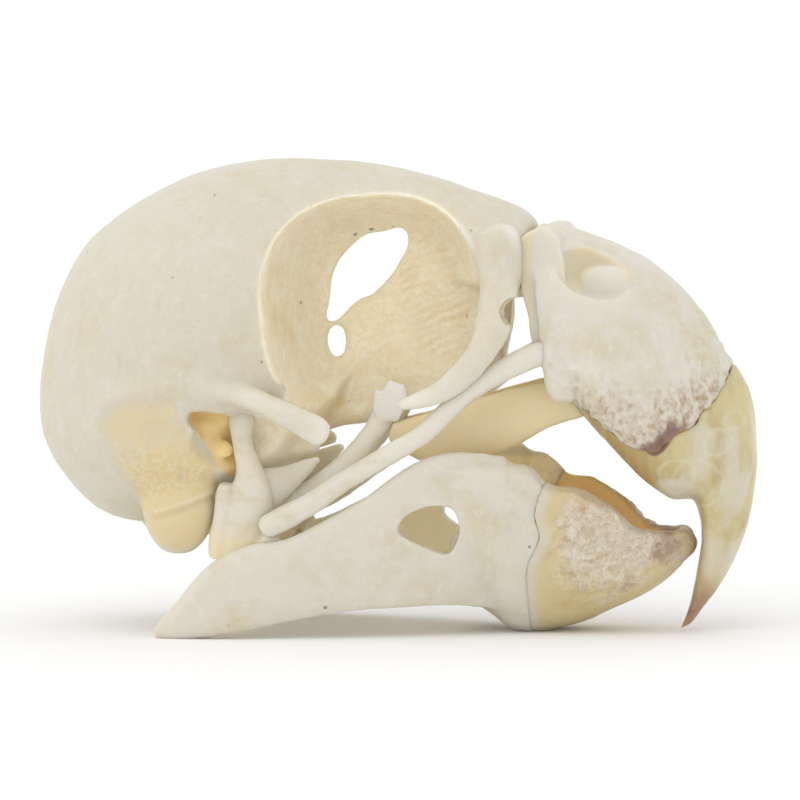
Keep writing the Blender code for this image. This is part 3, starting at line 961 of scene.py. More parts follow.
# Keratin of the lower beak: yellow horn that flakes into white fibres, with purple-brown stains
LOWER_KERATIN = Finish(
    name="flaking_jaw_keratin",
    base="#D2C295",
    veils=(
        Veil("#C7B07B", 0.8, size=1.3, low=0.45, high=0.74),
        Veil("#D5CEBD", 0.85, mask="edge", low=0.1, high=1.0, size=0.5, ragged=0.4),
        Veil("#CFBC9C", 0.9, mask="crust", low=0.2, high=0.8, size=0.5, ragged=0.8),
        Veil("#99796A", 0.75, mask="stain", low=0.35, high=1.0, size=0.4, ragged=1.0),
        Veil("#B08A70", 0.6, mask="fibres", low=0.5, high=1.1, size=0.9, ragged=1.8),
        Veil("#D9D1BF", 0.8, mask="fibres", low=0.4, high=1.0, size=0.7, ragged=1.8),
        Veil("#E2DCCD", 0.55, mask="fibres", size=1.1, veins=0.06, stretch=(1.3, 1.0, 1.0)),
        Veil("#A98B5C", 0.45, mask="fibres", size=0.45, veins=0.04),
        # ochre of the inward faces: the horn's own yellow, made light as painted light for their shade
        Veil("#F4D28E", 0.95, mask="ochre", low=0.15, high=0.9, size=0.6, ragged=0.4),
    ),
    grains=(Grain(0.35, 0.03, mask="crust"), Grain(0.14, 0.01), Grain(0.5, 0.06, mask="fibres")),
    roughness=(0.35, 0.6),
    ior=1.55,
    depth=0.9,
    glow=(1.0, 0.72, 0.35),
    translucency=0.45,
    coat=0.06,
)


@dataclass
class Cranium:
    """Braincase, forehead, eye sockets and the bones that fused with them."""

    half_width: float = 8.0
    # thickness of the wall between the eyes
    septum: float = 0.8
    # middle, half sizes, squareness and tilt in degrees of the space of the eye
    eye: Triple = (-0.45, 6.9, 14.9)
    eye_half: Triple = (4.85, 7.6, 5.35)
    eye_power: float = 2.5
    eye_tilt: float = -6.0
    voxel: float = 0.14
    # x, top, underside and share of the half width, back to front
    profile: Rows = (
        (-16.6, 10.8, 9.6, 0.08), (-16.4, 12.5, 8.6, 0.30), (-15.8, 15.2, 7.4, 0.50),
        (-14.6, 17.5, 6.0, 0.70), (-13.2, 18.85, 5.05, 0.85), (-11.4, 20.0, 4.8, 0.95),
        (-9.4, 20.9, 5.2, 1.0), (-7.1, 21.45, 6.1, 1.0), (-5.0, 21.65, 7.3, 0.94),
        (-3.4, 21.6, 9.4, 0.84), (-1.8, 21.5, 12.6, 0.71), (0.0, 21.2, 15.4, 0.64),
        (1.6, 20.8, 16.2, 0.62), (3.0, 20.3, 16.0, 0.61), (4.6, 19.75, 15.6, 0.61),
        (5.6, 19.3, 15.3, 0.61), (6.15, 18.8, 15.5, 0.59),
    )
    # x, distance from the mid-plane, z, half height and half thickness of the rods
    postorbital: Rows = (
        (-9.6, 6.9, 11.3, 1.1, 0.9), (-7.6, 7.5, 11.35, 0.70, 0.65), (-6.3, 7.7, 11.2, 0.56, 0.55),
        (-4.9, 7.7, 10.65, 0.55, 0.52), (-3.6, 7.6, 10.0, 0.62, 0.52), (-2.75, 7.5, 9.55, 0.66, 0.50),
        (-2.3, 7.45, 9.35, 0.42, 0.36),
    )
    sickle: Rows = (
        (4.6, 4.3, 18.4, 1.1, 0.55), (5.1, 4.7, 16.6, 0.95, 0.60), (5.1, 5.05, 15.2, 0.92, 0.56),
        (4.9, 5.3, 14.1, 0.90, 0.52), (4.4, 5.5, 13.05, 0.72, 0.50), (3.6, 5.6, 12.05, 0.64, 0.48),
        (2.55, 5.7, 11.25, 0.54, 0.44), (1.5, 5.75, 10.85, 0.40, 0.40), (0.6, 5.75, 10.6, 0.18, 0.24),
    )
    sphenoid: Rows = (
        (-8.5, 3.2, 8.6, 2.0, 1.8), (-6.0, 3.1, 8.7, 1.2, 1.3), (-4.6, 3.0, 8.6, 0.75, 0.9),
        (-3.3, 2.8, 8.5, 0.25, 0.35),
    )
    rostrum: Rows = (
        (-7.5, 0.0, 8.2, 1.6, 1.8), (-5.2, 0.0, 9.0, 1.0, 1.2), (-3.2, 0.0, 9.75, 0.62, 0.7),
        (-1.0, 0.0, 10.1, 0.55, 0.55), (2.0, 0.0, 11.2, 0.5, 0.5), (4.6, 0.0, 12.8, 0.45, 0.45),
    )
    # side outlines of the wall between the eyes and its large window
    wall: Rows = (
        (-6.0, 20.0), (4.6, 19.0), (5.3, 16.0), (5.0, 13.6), (4.4, 12.5), (2.0, 11.0), (-3.4, 9.6),
        (-6.0, 10.0),
    )
    window: Rows = (
        (-3.45, 14.2), (-3.25, 15.1), (-3.1, 16.2), (-2.75, 16.95), (-2.1, 17.7), (-1.6, 18.1),
        (-0.7, 18.22), (0.12, 18.45), (0.32, 18.0), (0.2, 17.4), (-0.5, 16.2), (-1.2, 15.45),
        (-1.9, 15.2), (-2.75, 14.35), (-3.3, 14.05),
    )
    # round notch in front of the eye as x, z and radius, and side outlines of the ear hollow and the temple
    notch: Triple = (5.95, 14.9, 0.66)
    ear: Rows = (
        (-8.85, 10.2), (-7.9, 10.4), (-6.9, 10.0), (-6.5, 9.0), (-6.6, 7.6), (-7.2, 7.4), (-8.1, 8.9),
    )
    temple: Rows = (
        (-13.09, 9.82), (-12.69, 10.72), (-10.93, 11.39), (-10.08, 11.3), (-9.0, 11.1), (-8.86, 10.18),
        (-7.28, 7.88), (-7.91, 6.66), (-10.44, 5.72), (-10.93, 5.94), (-12.51, 7.61),
    )

    def socket(self, side: Side) -> Shell:
        """Space of one eye."""
        x, y, z = self.eye
        return blob((x, side.value * y, z), self.eye_half, self.eye_power, self.eye_tilt, detail=72)

    def in_socket(self, points: Array) -> Array:
        """Mask of the eye sockets' walls, where a slightly larger superellipsoid of the eye holds the point.

        It reaches further at the wall between the eyes, below the brow.

        Args:
            points: Points in millimetres.

        Returns:
            1 on a wall, 0 elsewhere.
        """
        turn = math.radians(self.eye_tilt)
        x, z = points[:, 0] - self.eye[0], points[:, 2] - self.eye[2]
        along = np.abs(x * math.cos(turn) - z * math.sin(turn)) / self.eye_half[0]
        upward = np.abs(x * math.sin(turn) + z * math.cos(turn)) / self.eye_half[2]
        across = np.abs(np.abs(points[:, 1]) - self.eye[1]) / self.eye_half[1]
        total = along**self.eye_power + across**self.eye_power + upward**self.eye_power
        middle = eased(4.4 - np.abs(points[:, 1]), 0.0, 0.4) * eased(18.6 - points[:, 2], 0.0, 0.8)
        reach = 1.11 + 0.38 * middle
        return eased(reach - total, 0.0, 0.1)

    def build(self) -> Piece:
        """Loft the braincase, carve its sockets, melt in the fused bones and raise the relief.

        Returns:
            The shaped piece.
        """
        x, top, bottom, share = spline(self.profile, 8).T
        top, bottom = placed(x, 0.0, top), placed(x, 0.0, bottom)
        vault = carried(top, bottom, share * self.half_width, 2.25, taper=0.06, widest=0.52, sides=96)
        piece = Piece("lovebird_cranium", [vault])
        window = slab(spline(self.window, 4, closed=True), -2.4, 2.4)
        pore = blob((-2.95, 0, 13.2), (0.42, 3.0, 0.74), power=2.4)
        spinal_opening = blob((-13.1, 0, 5.6), (1.3, 1.6, 2.4), tilt=-20)
        cuts = [window, pore, spinal_opening]
        for side in Side:
            y = side.value
            temple = blob((-10.4, y * 9.0, 8.2), (2.6, 1.9, 2.7))
            cheek = blob((-5.9, y * 8.1, 8.55), (2.9, 3.1, 2.0), power=2.2)
            ear = slab(spline(self.ear, 4, closed=True), y * 5.9, y * 9.5)
            cuts += [self.socket(side), temple, cheek, ear]
        piece.carve(cuts)
        wall = Piece("wall", [slab(np.array(self.wall), -self.septum / 2, self.septum / 2)])
        wall.carve([window, pore])
        joint_knob = blob((-11.3, 0, 5.2), (0.9, 1.0, 0.9))
        extras = [rod(self.rostrum, Side.RIGHT), joint_knob]
        for side in Side:
            extras += self.side_bones(side)
        piece.add(wall).add(extras).melt(self.voxel, 6)
        x, z, radius = self.notch
        piece.carve([blob((x, side.value * 5.6, z), (radius, 1.8, radius)) for side in Side])
        self.raise_relief(piece)
        return piece

    def side_bones(self, side: Side) -> list[Shell]:
        """Rods, plates and lobes of one side.

        The left side's hook and plate are slimmer, as the photo shows a gap past the right ones.

        Args:
            side: Side of the skull.

        Returns:
            Their shells.
        """
        y = side.value
        hook = np.array(self.sickle)
        plate = blob((5.15, y * 4.25, 17.1), (1.02, 0.72, 1.75), power=3.0)
        if side is Side.LEFT:
            hook[1:5, 0] -= (0.75, 0.85, 0.65, 0.3)
            hook[1:5, 3] *= 0.55
            plate = blob((4.7, y * 4.25, 17.4), (0.8, 0.7, 1.4), power=3.0)
        lobe = blob((-9.55, y * 4.9, 6.4), (1.75, 1.1, 2.75), power=2.2)
        front_wall = blob((4.75, y * 2.2, 16.4), (0.5, 2.4, 1.45), power=2.6)
        ear_folds = [
            blob((-7.3, y * 5.8, 8.6), (0.5, 0.25, 0.45), tilt=20),
            blob((-8.2, y * 5.9, 9.7), (0.5, 0.25, 0.28), tilt=30),
        ]
        rods = [rod(rows, side) for rows in (self.postorbital, self.sphenoid, hook)]
        return [*rods, plate, lobe, front_wall, *ear_folds]

    def raise_relief(self, piece: Piece) -> None:
        """Push the skin into ridges, pits and ripples and paint the masks of the finish.

        Args:
            piece: The piece, whose skin is moved.
        """
        points = piece.points()
        x, out, z = parted(points)
        outer = eased(out, 4.0, 5.5)
        into = depth_inside(points, self.temple)
        temple = eased(into, -0.3, 0.9) * outer
        low = eased(into, 0.1, 0.8) * eased(9.6 - z, 0, 2.2) * outer
        sponge = pits(points, 0.42, 5, 0.8) * low
        inner = self.in_socket(points) * (1 - self.on_rods(points, out))
        wall = eased(1.2 - out, 0, 0.6) * within(points, (2.1, 15.4), (2.3, 3.4))
        slope = z * 0.93 - x * 0.36
        ripple = np.sin((slope + 0.2 * rough(points, 1.0, 3, 31)) * 2 * math.pi / 0.38)
        lift = 0.05 * rough(points, 4.5, 3, 1) + 0.012 * rough(points, 0.8, 3, 2)
        lift += -0.07 * temple - 0.05 * sponge + 0.05 * low * rough(points, 0.6, 3, 9)
        lift += (0.055 * ripple + 0.04 * rough(points, 0.9, 3, 32)) * eased(wall, 0.02, 0.4)
        lift += 0.035 * rough(points, (0.9, 0.9, 1.6), 3, 34) * inner * (1 - eased(wall, 0.0, 0.2))
        lift += self.ridges(points, out)
        piece.push(lift)
        wide = piece.hollow(60, 0.35)
        fine = piece.hollow(6, 0.03)
        into_ear = depth_inside(points, spline(self.ear, 4, closed=True))
        ear = eased(into_ear, -0.2, 0.1) * eased(6.9 - out, 0, 0.4)
        cheek = eased(within(points, (-4.6, 8.9), (3.3, 2.6)), 0, 0.3) * eased(6.7 - out, 0, 0.4)
        floor = eased(within(points, (-2.6, 10.9), (4.6, 2.6)), 0, 0.4) * eased(5.8 - out, 0, 0.4)
        behind_eye = beside(points, spline(((-5.2, 16.6), (-5.1, 15.2), (-4.9, 13.6)), 6))
        crease = bell(behind_eye, 0.45) * inner
        lobe = eased(within(points, (-9.4, 6.2), (2.4, 2.9)), 0.0, 0.6) * eased(out, 2.5, 4.0)
        under = eased(8.5 - z, 0, 3.5) * 0.3 * (1 - np.maximum(cheek, floor))
        notch = within(points, self.notch[:2], (1.0, 1.0)) * eased(4.9 - out, 0, 0.3)
        shade = 0.3 * inner * rough(points, 1.3, 3, 35) - 0.3 * ripple * eased(wall, 0.02, 0.4)
        web = eased(within(points, (4.8, 14.1), (0.8, 1.3)), 0, 0.6) * outer
        warm = 0.65 * temple + 0.5 * lobe + 0.2 * cheek + 0.4 * crease + under + 0.25 * web
        # painted light: the shaded socket walls, cheek, floor and notch get the paler inner colour
        piece.paint("inner", inner + cheek + floor + eased(notch, 0, 0.3))
        # yellow tint, partly the bone's own and partly painted shade, in the temple, lobe, crease, towards
        # the bottom, in wide hollows and along the ripples of the wall between the eyes
        piece.paint("yellowing_and_painted_shade", warm + 0.3 * eased(wide, 0.3, 1.0) + shade)
        # the golden tone on the cheek's tip is painted light, in place of light through the shaded bone
        golden = 0.4 * cheek * eased(x, -4.8, -3.8) + 0.3 * crease
        piece.paint("ochre", 1.1 * ear + 0.3 * sponge + 0.3 * low + 0.2 * eased(fine, 0.3, 1.0) + golden)
        piece.paint("ridge", eased(-wide, 0.1, 0.8) * (1 - inner) * (1 - temple) * (1 - ear))
        piece.paint("sponge", low)
        crumbs = pits(points, 0.45, 33, 0.05) * eased(wall, 0.0, 0.2)
        piece.paint("speck", pits(points, 0.3, 77, 0.004) + 0.9 * crumbs)

    def on_rods(self, points: Array, out: Array) -> Array:
        """Mask of the rod behind the eye and the hook below it, which stand in front of the socket.

        Args:
            points: Points in millimetres.
            out: Their distance from the mid-plane.

        Returns:
            1 on a rod, 0 elsewhere.
        """
        hook = beside(points, np.array(self.sickle)[:, [0, 2]])
        behind = beside(points, np.array(self.postorbital)[:, [0, 2]])
        on_hook = eased(1.5 - hook, 0, 0.3) * eased(out, 4.3, 4.8)
        on_rod = eased(1.2 - behind, 0, 0.3) * eased(out, 5.8, 6.3)
        return np.maximum(on_hook, on_rod)

    def ridges(self, points: Array, out: Array) -> Array:
        """Heights of the ridges, bells round lines in the side view.

        They are the temple's rim, the crest over it, the lobe's edge and the folds of the inner wall.

        Args:
            points: Points in millimetres.
            out: Their distance from the mid-plane.

        Returns:
            One height a point.
        """
        rim = np.abs(depth_inside(points, self.temple))
        crest = beside(points, spline(((-13.1, 9.8), (-12.7, 10.8), (-10.9, 11.4), (-8.0, 11.6)), 6))
        fold = beside(points, ((-4.46, 10.25), (-3.9, 11.2), (-3.22, 12.14)))
        bright = beside(points, ((-4.2, 10.0), (-2.6, 11.5), (-1.28, 13.0)))
        outer = eased(out, 4.0, 5.5)
        middle = eased(2.2 - out, 0, 1.2)
        edge = beside(points, ((-10.44, 5.72), (-9.2, 6.05), (-7.91, 6.66)))
        under = beside(points, ((-10.5, 5.4), (-9.2, 5.75), (-7.8, 6.35)))
        lobe = 0.07 * bell(edge, 0.16) - 0.08 * bell(under, 0.18)
        folds = 0.08 * bell(fold, 0.22) + 0.12 * bell(bright, 0.2)
        return outer * (lobe + 0.05 * bell(rim, 0.22) + 0.12 * bell(crest, 0.6)) + middle * folds


@dataclass
class UpperBeak:
    """Upper beak: its bone and the horn sheath that covers the front."""

    voxel: float = 0.085
    seam_gap: float = 0.1
    # top x and z, bottom x and z, half width, squareness and taper of each section
    sections: Rows = (
        (6.45, 18.65, 7.15, 11.9, 4.6, 3.2, 0.05), (7.9, 18.5, 8.3, 10.5, 5.0, 3.1, 0.08),
        (9.9, 17.8, 9.8, 8.7, 5.1, 2.8, 0.14), (12.0, 16.65, 11.4, 6.95, 4.7, 2.5, 0.20),
        (13.8, 14.9, 12.6, 6.1, 4.1, 2.3, 0.24), (15.3, 12.5, 13.3, 6.1, 3.3, 2.2, 0.26),
        (16.2, 10.9, 13.7, 6.0, 2.8, 2.2, 0.26), (16.5, 8.6, 13.95, 5.1, 2.3, 2.2, 0.24),
        (16.4, 6.7, 13.95, 4.1, 1.8, 2.1, 0.20), (16.05, 4.8, 13.8, 3.1, 1.35, 2.1, 0.15),
        (15.5, 3.35, 13.6, 2.1, 0.95, 2.0, 0.10), (14.65, 1.9, 13.3, 0.95, 0.62, 2.0, 0.05),
        (13.5, 0.3, 12.95, 0.05, 0.26, 2.0, 0.0),
    )
    # side line where the bone ends and the horn begins
    seam: Rows = (
        (3.6, 11.4), (7.4, 11.2), (8.41, 10.53), (8.99, 10.3), (9.61, 9.83), (10.27, 9.31),
        (10.94, 8.84), (11.69, 8.56), (12.15, 8.44), (12.5, 8.6), (12.98, 9.08), (13.33, 9.36),
        (13.95, 9.62), (14.16, 10.09), (14.64, 10.57), (14.98, 11.1), (15.36, 11.95), (15.38, 12.5),
        (15.6, 12.9), (17.5, 13.6),
    )
    # side outline of the wall between the two rear edges
    rear: Rows = (
        (6.02, 18.2), (7.8, 18.2), (8.2, 13.0), (7.2, 12.9), (6.75, 13.2), (6.5, 13.7), (6.42, 14.6),
        (6.22, 15.4), (6.02, 16.2),
    )
    # stations of the palate's vault, like those of a rod
    palate: Rows = (
        (7.6, 0, 9.8, 1.2, 3.0), (9.6, 0, 8.0, 1.3, 3.0), (11.6, 0, 6.3, 1.3, 2.5),
        (13.0, 0, 5.4, 0.8, 1.3),
    )
    # x, z and radius of the white rings on the horn
    rings: Rows = ((13.1, 7.4, 0.75), (14.9, 8.9, 0.55), (14.0, 7.0, 1.1), (15.6, 9.8, 0.4))

    def body(self) -> tuple[Shell, list[Shell]]:
        """Whole beak and its hollows, before the bone and the horn part.

        Returns:
            The beak's shell, and the shells of the palate's vault and the two nostrils.
        """
        top_x, top, low_x, bottom, wide, power, taper = spline(self.sections, 8).T
        top, bottom = placed(top_x, 0.0, top), placed(low_x, 0.0, bottom)
        whole = carried(top, bottom, wide, power, taper=taper, widest=0.42, sides=96)
        hollows = [rod(self.palate, Side.RIGHT)]
        for side in Side:
            hollows.append(blob((9.68, side.value * 4.4, 16.87), (2.0, 1.8, 1.4), power=2.2, tilt=14))
        return whole, hollows

    def build(self) -> tuple[Piece, Piece]:
        """Shape the bone and the sheath on either side of the ragged seam.

        Returns:
            The bone and the sheath.
        """
        whole, hollows = self.body()
        line = spline(self.seam, 4)
        start = line[0, 0]
        low = np.vstack([line, (PAST_FRONT, PAST_FLOOR), (start, PAST_FLOOR)])
        high = np.vstack([line + (0.0, self.seam_gap), (PAST_FRONT, PAST_TOP), (start, PAST_TOP)])
        below, above = (slab(outline, -PAST_SIDE, PAST_SIDE) for outline in (low, high))
        bone = Piece("lovebird_upper_beak_bone", [whole]).carve([*hollows, below])
        for side in Side:
            y = side.value
            disc = blob((9.75, y * 2.95, 16.05), (1.3, 0.62, 0.85), power=2.6)
            bulge = blob((8.05, y * 4.2, 12.3), (0.95, 0.8, 1.6), power=2.4)
            bone.add([disc, bulge, blob((7.5, y * 4.5, 12.9), (0.65, 0.5, 0.8))])
        bone.add([slab(spline(self.rear, 4, closed=True), -4.25, 4.25)])
        bone.melt(self.voxel, 4)
        sheath = Piece("lovebird_upper_sheath", [whole]).carve([hollows[0], above])
        chip = blob((16.9, 0, 4.25), (0.55, 1.2, 0.28), tilt=-25)
        sheath.carve([chip])
        sheath.melt(self.voxel, 4)
        self.raise_bone(bone)
        self.raise_sheath(sheath)
        return bone, sheath

    def raise_bone(self, piece: Piece) -> None:
        """Raise worm-like ridges on the bone towards its lower front edge and paint its masks.

        Args:
            piece: The piece, whose skin is moved.
        """
        points = piece.points()
        x, out, z = parted(points)
        gap = beside(points, spline(self.seam, 6))
        spongy = eased(5.2 - gap, 0, 5.0) * eased(x, 6.6, 7.6)
        worm = 1 - np.abs(rough(points, (0.62, 0.62, 0.75), 3, 11))
        pores = pits(points, 0.8, 23, 0.25) * eased(3.2 - gap, 0, 2.0)
        nostril = within(points, (9.6, 16.85), (2.1, 1.6)) * eased(out, 2.0, 3.4)
        lift = 0.05 * rough(points, 3.0, 3, 3) + 0.015 * rough(points, 0.7, 3, 4)
        piece.push(lift + 0.14 * (worm - 0.75) * spongy - 0.06 * pores)
        wide = piece.hollow(50, 0.3)
        fine = piece.hollow(8, 0.03)
        rear = eased(6.72 - x, 0, 0.2)
        lip = eased(7.9 - x, 0, 1.0) * eased(14.5 - z, 0, 3.0)
        tip = eased(x, 10.6, 12.4) * eased(15.6 - x, 0, 1.6)
        bed = within(points, (8.75, 16.55), (0.9, 0.8)) * eased(4.4 - out, 0, 0.6)
        disc = eased(within(points, (9.85, 16.05), (1.1, 0.95)), 0.0, 0.4) * eased(4.3 - out, 0, 0.3)
        hollow = 0.55 * eased(nostril, 0.05, 0.5) * (1 - disc) + 0.35 * eased(wide, 0.2, 1.0)
        inside = eased(3.9 - out, 0, 0.4) * eased(13.2 - z, 0, 1.0)
        inside *= eased(11.5 - x, 0, 1)
        # yellow tint, mostly painted shade: the crease at the rear edge, the lower rear, the nostril's dish
        # and wide hollows, and the palate's inside
        piece.paint("yellowing_and_painted_shade", 0.6 * rear + 0.45 * lip + hollow + 0.6 * inside)
        piece.paint("ochre", 0.9 * bell(gap, 0.12) * tip + 0.2 * eased(bed, 0.2, 0.8) + 0.06 * rear)
        piece.paint("ridge", eased(-wide, 0.1, 0.8) * (1 - spongy))
        brown = eased(13.2 - z, 0, 2.6) * eased(x, 7.4, 10.0)
        piece.paint("sponge", spongy * (0.5 + 0.5 * eased(fine, -0.6, 0.8)) * (0.3 + 0.7 * brown))
        stain = (0.85 * bell(gap, 0.5) + 0.45 * bell(gap, 1.3)) * eased(14.3 - x, 0, 1.6)
        piece.paint("stain", stain * tip)
        piece.paint("speck", 0.3 * pores + pits(points, 0.3, 78, 0.004))

    def raise_sheath(self, piece: Piece) -> None:
        """Raise growth rings and flakes on the horn and paint its masks.

        Args:
            piece: The piece, whose skin is moved.
        """
        points = piece.points()
        x, out, z = parted(points)
        gap = beside(points, spline(self.seam, 6))
        front = eased(x, 11.6, 13.4)
        band = (1 - front) * eased(10.8 - z, 0, 1.0)
        streaks = cloud(points, (0.28, 2.0, 3.0), 45) * band
        flakes = np.floor(3 * (0.5 + 0.5 * rough(points, (1.2, 1.2, 2.0), 3, 42))) / 3
        low = eased(8.5 - z, 0, 6.0)
        piece.push(0.03 * rough(points, 2.5, 3, 43) + 0.015 * streaks + 0.045 * (flakes - 0.3) * front)
        fine = piece.hollow(10, 0.05)
        rings = np.zeros(len(points))
        for middle_x, middle_z, radius in self.rings:
            away = np.hypot(x - middle_x, z - middle_z) + 0.12 * rough(points, 0.6, 2, 46)
            rings = np.maximum(rings, bell(away - radius, 0.13))
        inner = eased(15.0 - x, 0, 1.0) * eased(6.2 - z, 0, 1.0) * front
        hidden = eased(2.3 - out, 0, 0.6) * band
        crust = 0.35 + 0.5 * rough(points, (1.3, 1.3, 2.2), 3, 44) + 0.35 * low
        patch = within(points, (12.8, 6.6), (1.6, 0.8))
        piece.paint("crust", (crust + 0.8 * patch) * (0.25 + 0.75 * front))
        piece.paint("rings", rings)
        piece.paint("band", band * (0.8 + 0.4 * streaks))
        piece.paint("ochre", 0.5 * inner + 0.3 * eased(fine, 0.2, 1) + 0.45 * bell(gap, 0.25) + 0.5 * hidden)
        piece.paint("tip", eased(3.6 - z, 0, 3.2))
        rim = bell(gap, 0.14) * eased(x, 11.6, 12.1) * eased(13.3 - x, 0, 0.6)
        piece.paint("stain", 0.9 * rim + 0.45 * inner * eased(3.5 - z, 0, 3))


@dataclass
class LowerJaw:
    """Lower jaw: its bone with the two side plates, and the horn sheath over its scoop."""

    voxel: float = 0.085
    wall: float = 0.85
    seam_gap: float = 0.05
    # how much further forward and up the left window sits, as a gap shows past the right one
    far_shift: tuple[float, float] = (0.8, 0.05)
    # x, rim height, floor height and half width of the scoop
    scoop: Rows = (
        (2.7, 8.2, 1.75, 4.9), (3.5, 8.4, 1.25, 4.95), (4.5, 8.45, 0.6, 4.85), (5.4, 8.4, -0.02, 4.65),
        (6.5, 8.2, -0.12, 4.35), (7.4, 7.3, 0.08, 4.2), (8.6, 7.1, 0.4, 4.05), (10.0, 6.2, 1.05, 3.65),
        (11.3, 4.95, 1.65, 3.05), (12.4, 4.75, 2.4, 2.3), (13.3, 4.8, 3.3, 1.35),
        (13.72, 4.2, 3.75, 0.5),
    )
    # x, distance of the top edge from the mid-plane, lean of the bottom edge, top, bottom, half thickness
    ramus: Rows = (
        (-10.45, 6.4, 0.0, 0.42, -0.10, 0.30), (-9.5, 6.5, 0.0, 1.55, -0.10, 0.48),
        (-8.5, 6.5, 0.0, 2.75, -0.02, 0.58), (-7.5, 6.5, 0.0, 3.65, 0.10, 0.65),
        (-6.0, 6.4, 0.0, 4.30, 0.35, 0.65), (-4.5, 6.2, 0.0, 4.55, 0.70, 0.60),
        (-3.0, 5.95, 0.05, 5.25, 1.00, 0.55), (-1.0, 5.6, 0.15, 6.40, 1.25, 0.50),
        (1.0, 5.2, 0.35, 7.85, 1.35, 0.50), (2.6, 4.75, 0.7, 8.45, 1.35, 0.50),
        (4.0, 4.3, 1.1, 8.45, 1.20, 0.50), (5.4, 3.9, 1.5, 8.30, 1.00, 0.45),
    )
    # side line where the bone ends and the horn begins, and side outline of the window
    seam: Rows = (
        (8.4, 10.6), (7.9, 8.6), (7.3, 7.2), (7.0, 6.6), (6.75, 5.6), (6.95, 4.6), (6.7, 3.9),
        (6.4, 3.3), (6.3, 2.4), (6.3, 1.3), (6.3, -1.0), (6.3, -3.0),
    )
    window: Rows = (
        (0.64, 5.1), (1.0, 5.6), (1.75, 5.95), (2.5, 6.02), (3.1, 5.8), (3.35, 5.0), (3.15, 4.25),
        (2.7, 3.75), (1.6, 4.2), (0.75, 4.7),
    )

    def body(self) -> Piece:
        """Scoop, side plates and joint shelves as one piece that still holds its seam.

        The space of the mouth runs on behind the scoop, and its bed rises towards the front.

        Returns:
            The piece, not yet melted.
        """
        x, rim, floor, wide = spline(self.scoop, 8).T
        outer = carried(placed(x, 0.0, rim), placed(x, 0.0, floor), wide, 2.5, widest=0.86, sides=96)
        held = (x > 2.8) & (x < 12.9)
        x, rim, floor, wide = (row[held] for row in (x, rim, floor, wide))
        bed = floor + (rim - floor) * (0.19 + 0.0275 * x)
        x[0] -= 2.0
        top, bottom = placed(x, 0.0, rim + 3), placed(x, 0.0, bed)
        mouth = carried(top, bottom, wide - self.wall, 2.5, widest=0.7, sides=64)
        jaw = Piece("jaw", [outer]).carve([mouth])
        x, away, lean, top, bottom, thick = spline(self.ramus, 8).T
        plates = []
        for side in Side:
            upper = placed(x, side.value * away, top)
            lower = placed(x, side.value * (away - lean), bottom)
            plates.append(carried(upper, lower, thick, 3.0, sides=40))
        shelves = [blob((-7.0, side.value * 5.4, 2.3), (1.7, 1.3, 0.85)) for side in Side]
        return jaw.add(plates).add(shelves)

    def build(self) -> tuple[Piece, Piece]:
        """Melt the jaw, part it at its seam and give each part its relief.

        Returns:
            The bone and the sheath.
        """
        line = spline(self.seam, 6)
        start = line[0, 1]
        front = np.vstack([line, (PAST_FRONT, PAST_FLOOR), (PAST_FRONT, start)])
        rear = np.vstack([line - (self.seam_gap, 0.0), (PAST_BACK, PAST_FLOOR), (PAST_BACK, start)])
        ahead, behind = (slab(outline, -PAST_SIDE, PAST_SIDE) for outline in (front, rear))
        window = spline(self.window, 4, closed=True)
        windows = [slab(window, -PAST_SIDE, -3), slab(window + self.far_shift, 3, PAST_SIDE)]
        bone = self.body().melt(0.14, 4).carve(windows)
        bone.body.name = "lovebird_mandible"
        sheath = Piece("lovebird_lower_sheath", [bone.shell()])
        bone.carve([ahead])
        bone.melt(self.voxel, 2)
        sheath.carve([behind])
        sheath.melt(self.voxel, 2)
        self.raise_bone(bone)
        self.raise_sheath(sheath)
        for piece in (bone, sheath):
            level = piece.points()
            level[:, 2] = np.maximum(level[:, 2], 0.0)
            piece.place(level)
        return bone, sheath

    def raise_bone(self, piece: Piece) -> None:
        """Roughen the bone towards its seam and paint its masks.

        Args:
            piece: The piece, whose skin is moved.
        """
        points = piece.points()
        z = points[:, 2]
        gap = beside(points, spline(self.seam, 6))
        fibrous = eased(3.4 - gap, 0, 2.4) * eased(z, 3.0, 5.5)
        worm = 1 - np.abs(rough(points, (0.55, 0.5, 0.9), 3, 51))
        lift = 0.04 * rough(points, 3.5, 3, 52) + 0.010 * rough(points, 0.7, 3, 53)
        piece.push(lift + 0.06 * (worm - 0.75) * fibrous)
        wide = piece.hollow(50, 0.3)
        inner = self.inward(piece, points) * eased(8.0 - z, 0, 0.6)
        suture = beside(points, ((3.35, 4.7), (3.05, 3.6), (2.6, 2.8)))
        # painted light: the shaded inward faces of the scoop and window get the paler inner colour
        piece.paint("inner", inner)
        warm = 0.15 * fibrous + 0.2 * bell(gap, 0.7)
        # yellow tint in wide hollows as painted shade, and real yellowing near the seam
        piece.paint("yellowing_and_painted_shade", 0.4 * eased(wide, 0.2, 1.0) * (1 - inner) + warm)
        piece.paint("ochre", 0.3 * bell(suture, 0.06) * (1 - inner))
        piece.paint("ridge", eased(-wide, 0.1, 0.8))
        piece.paint("sponge", 0.35 * fibrous)
        piece.paint("stain", 0.35 * bell(gap, 0.3) * eased(z, 5.6, 6.6))
        piece.paint("speck", pits(points, 0.3, 79, 0.004))

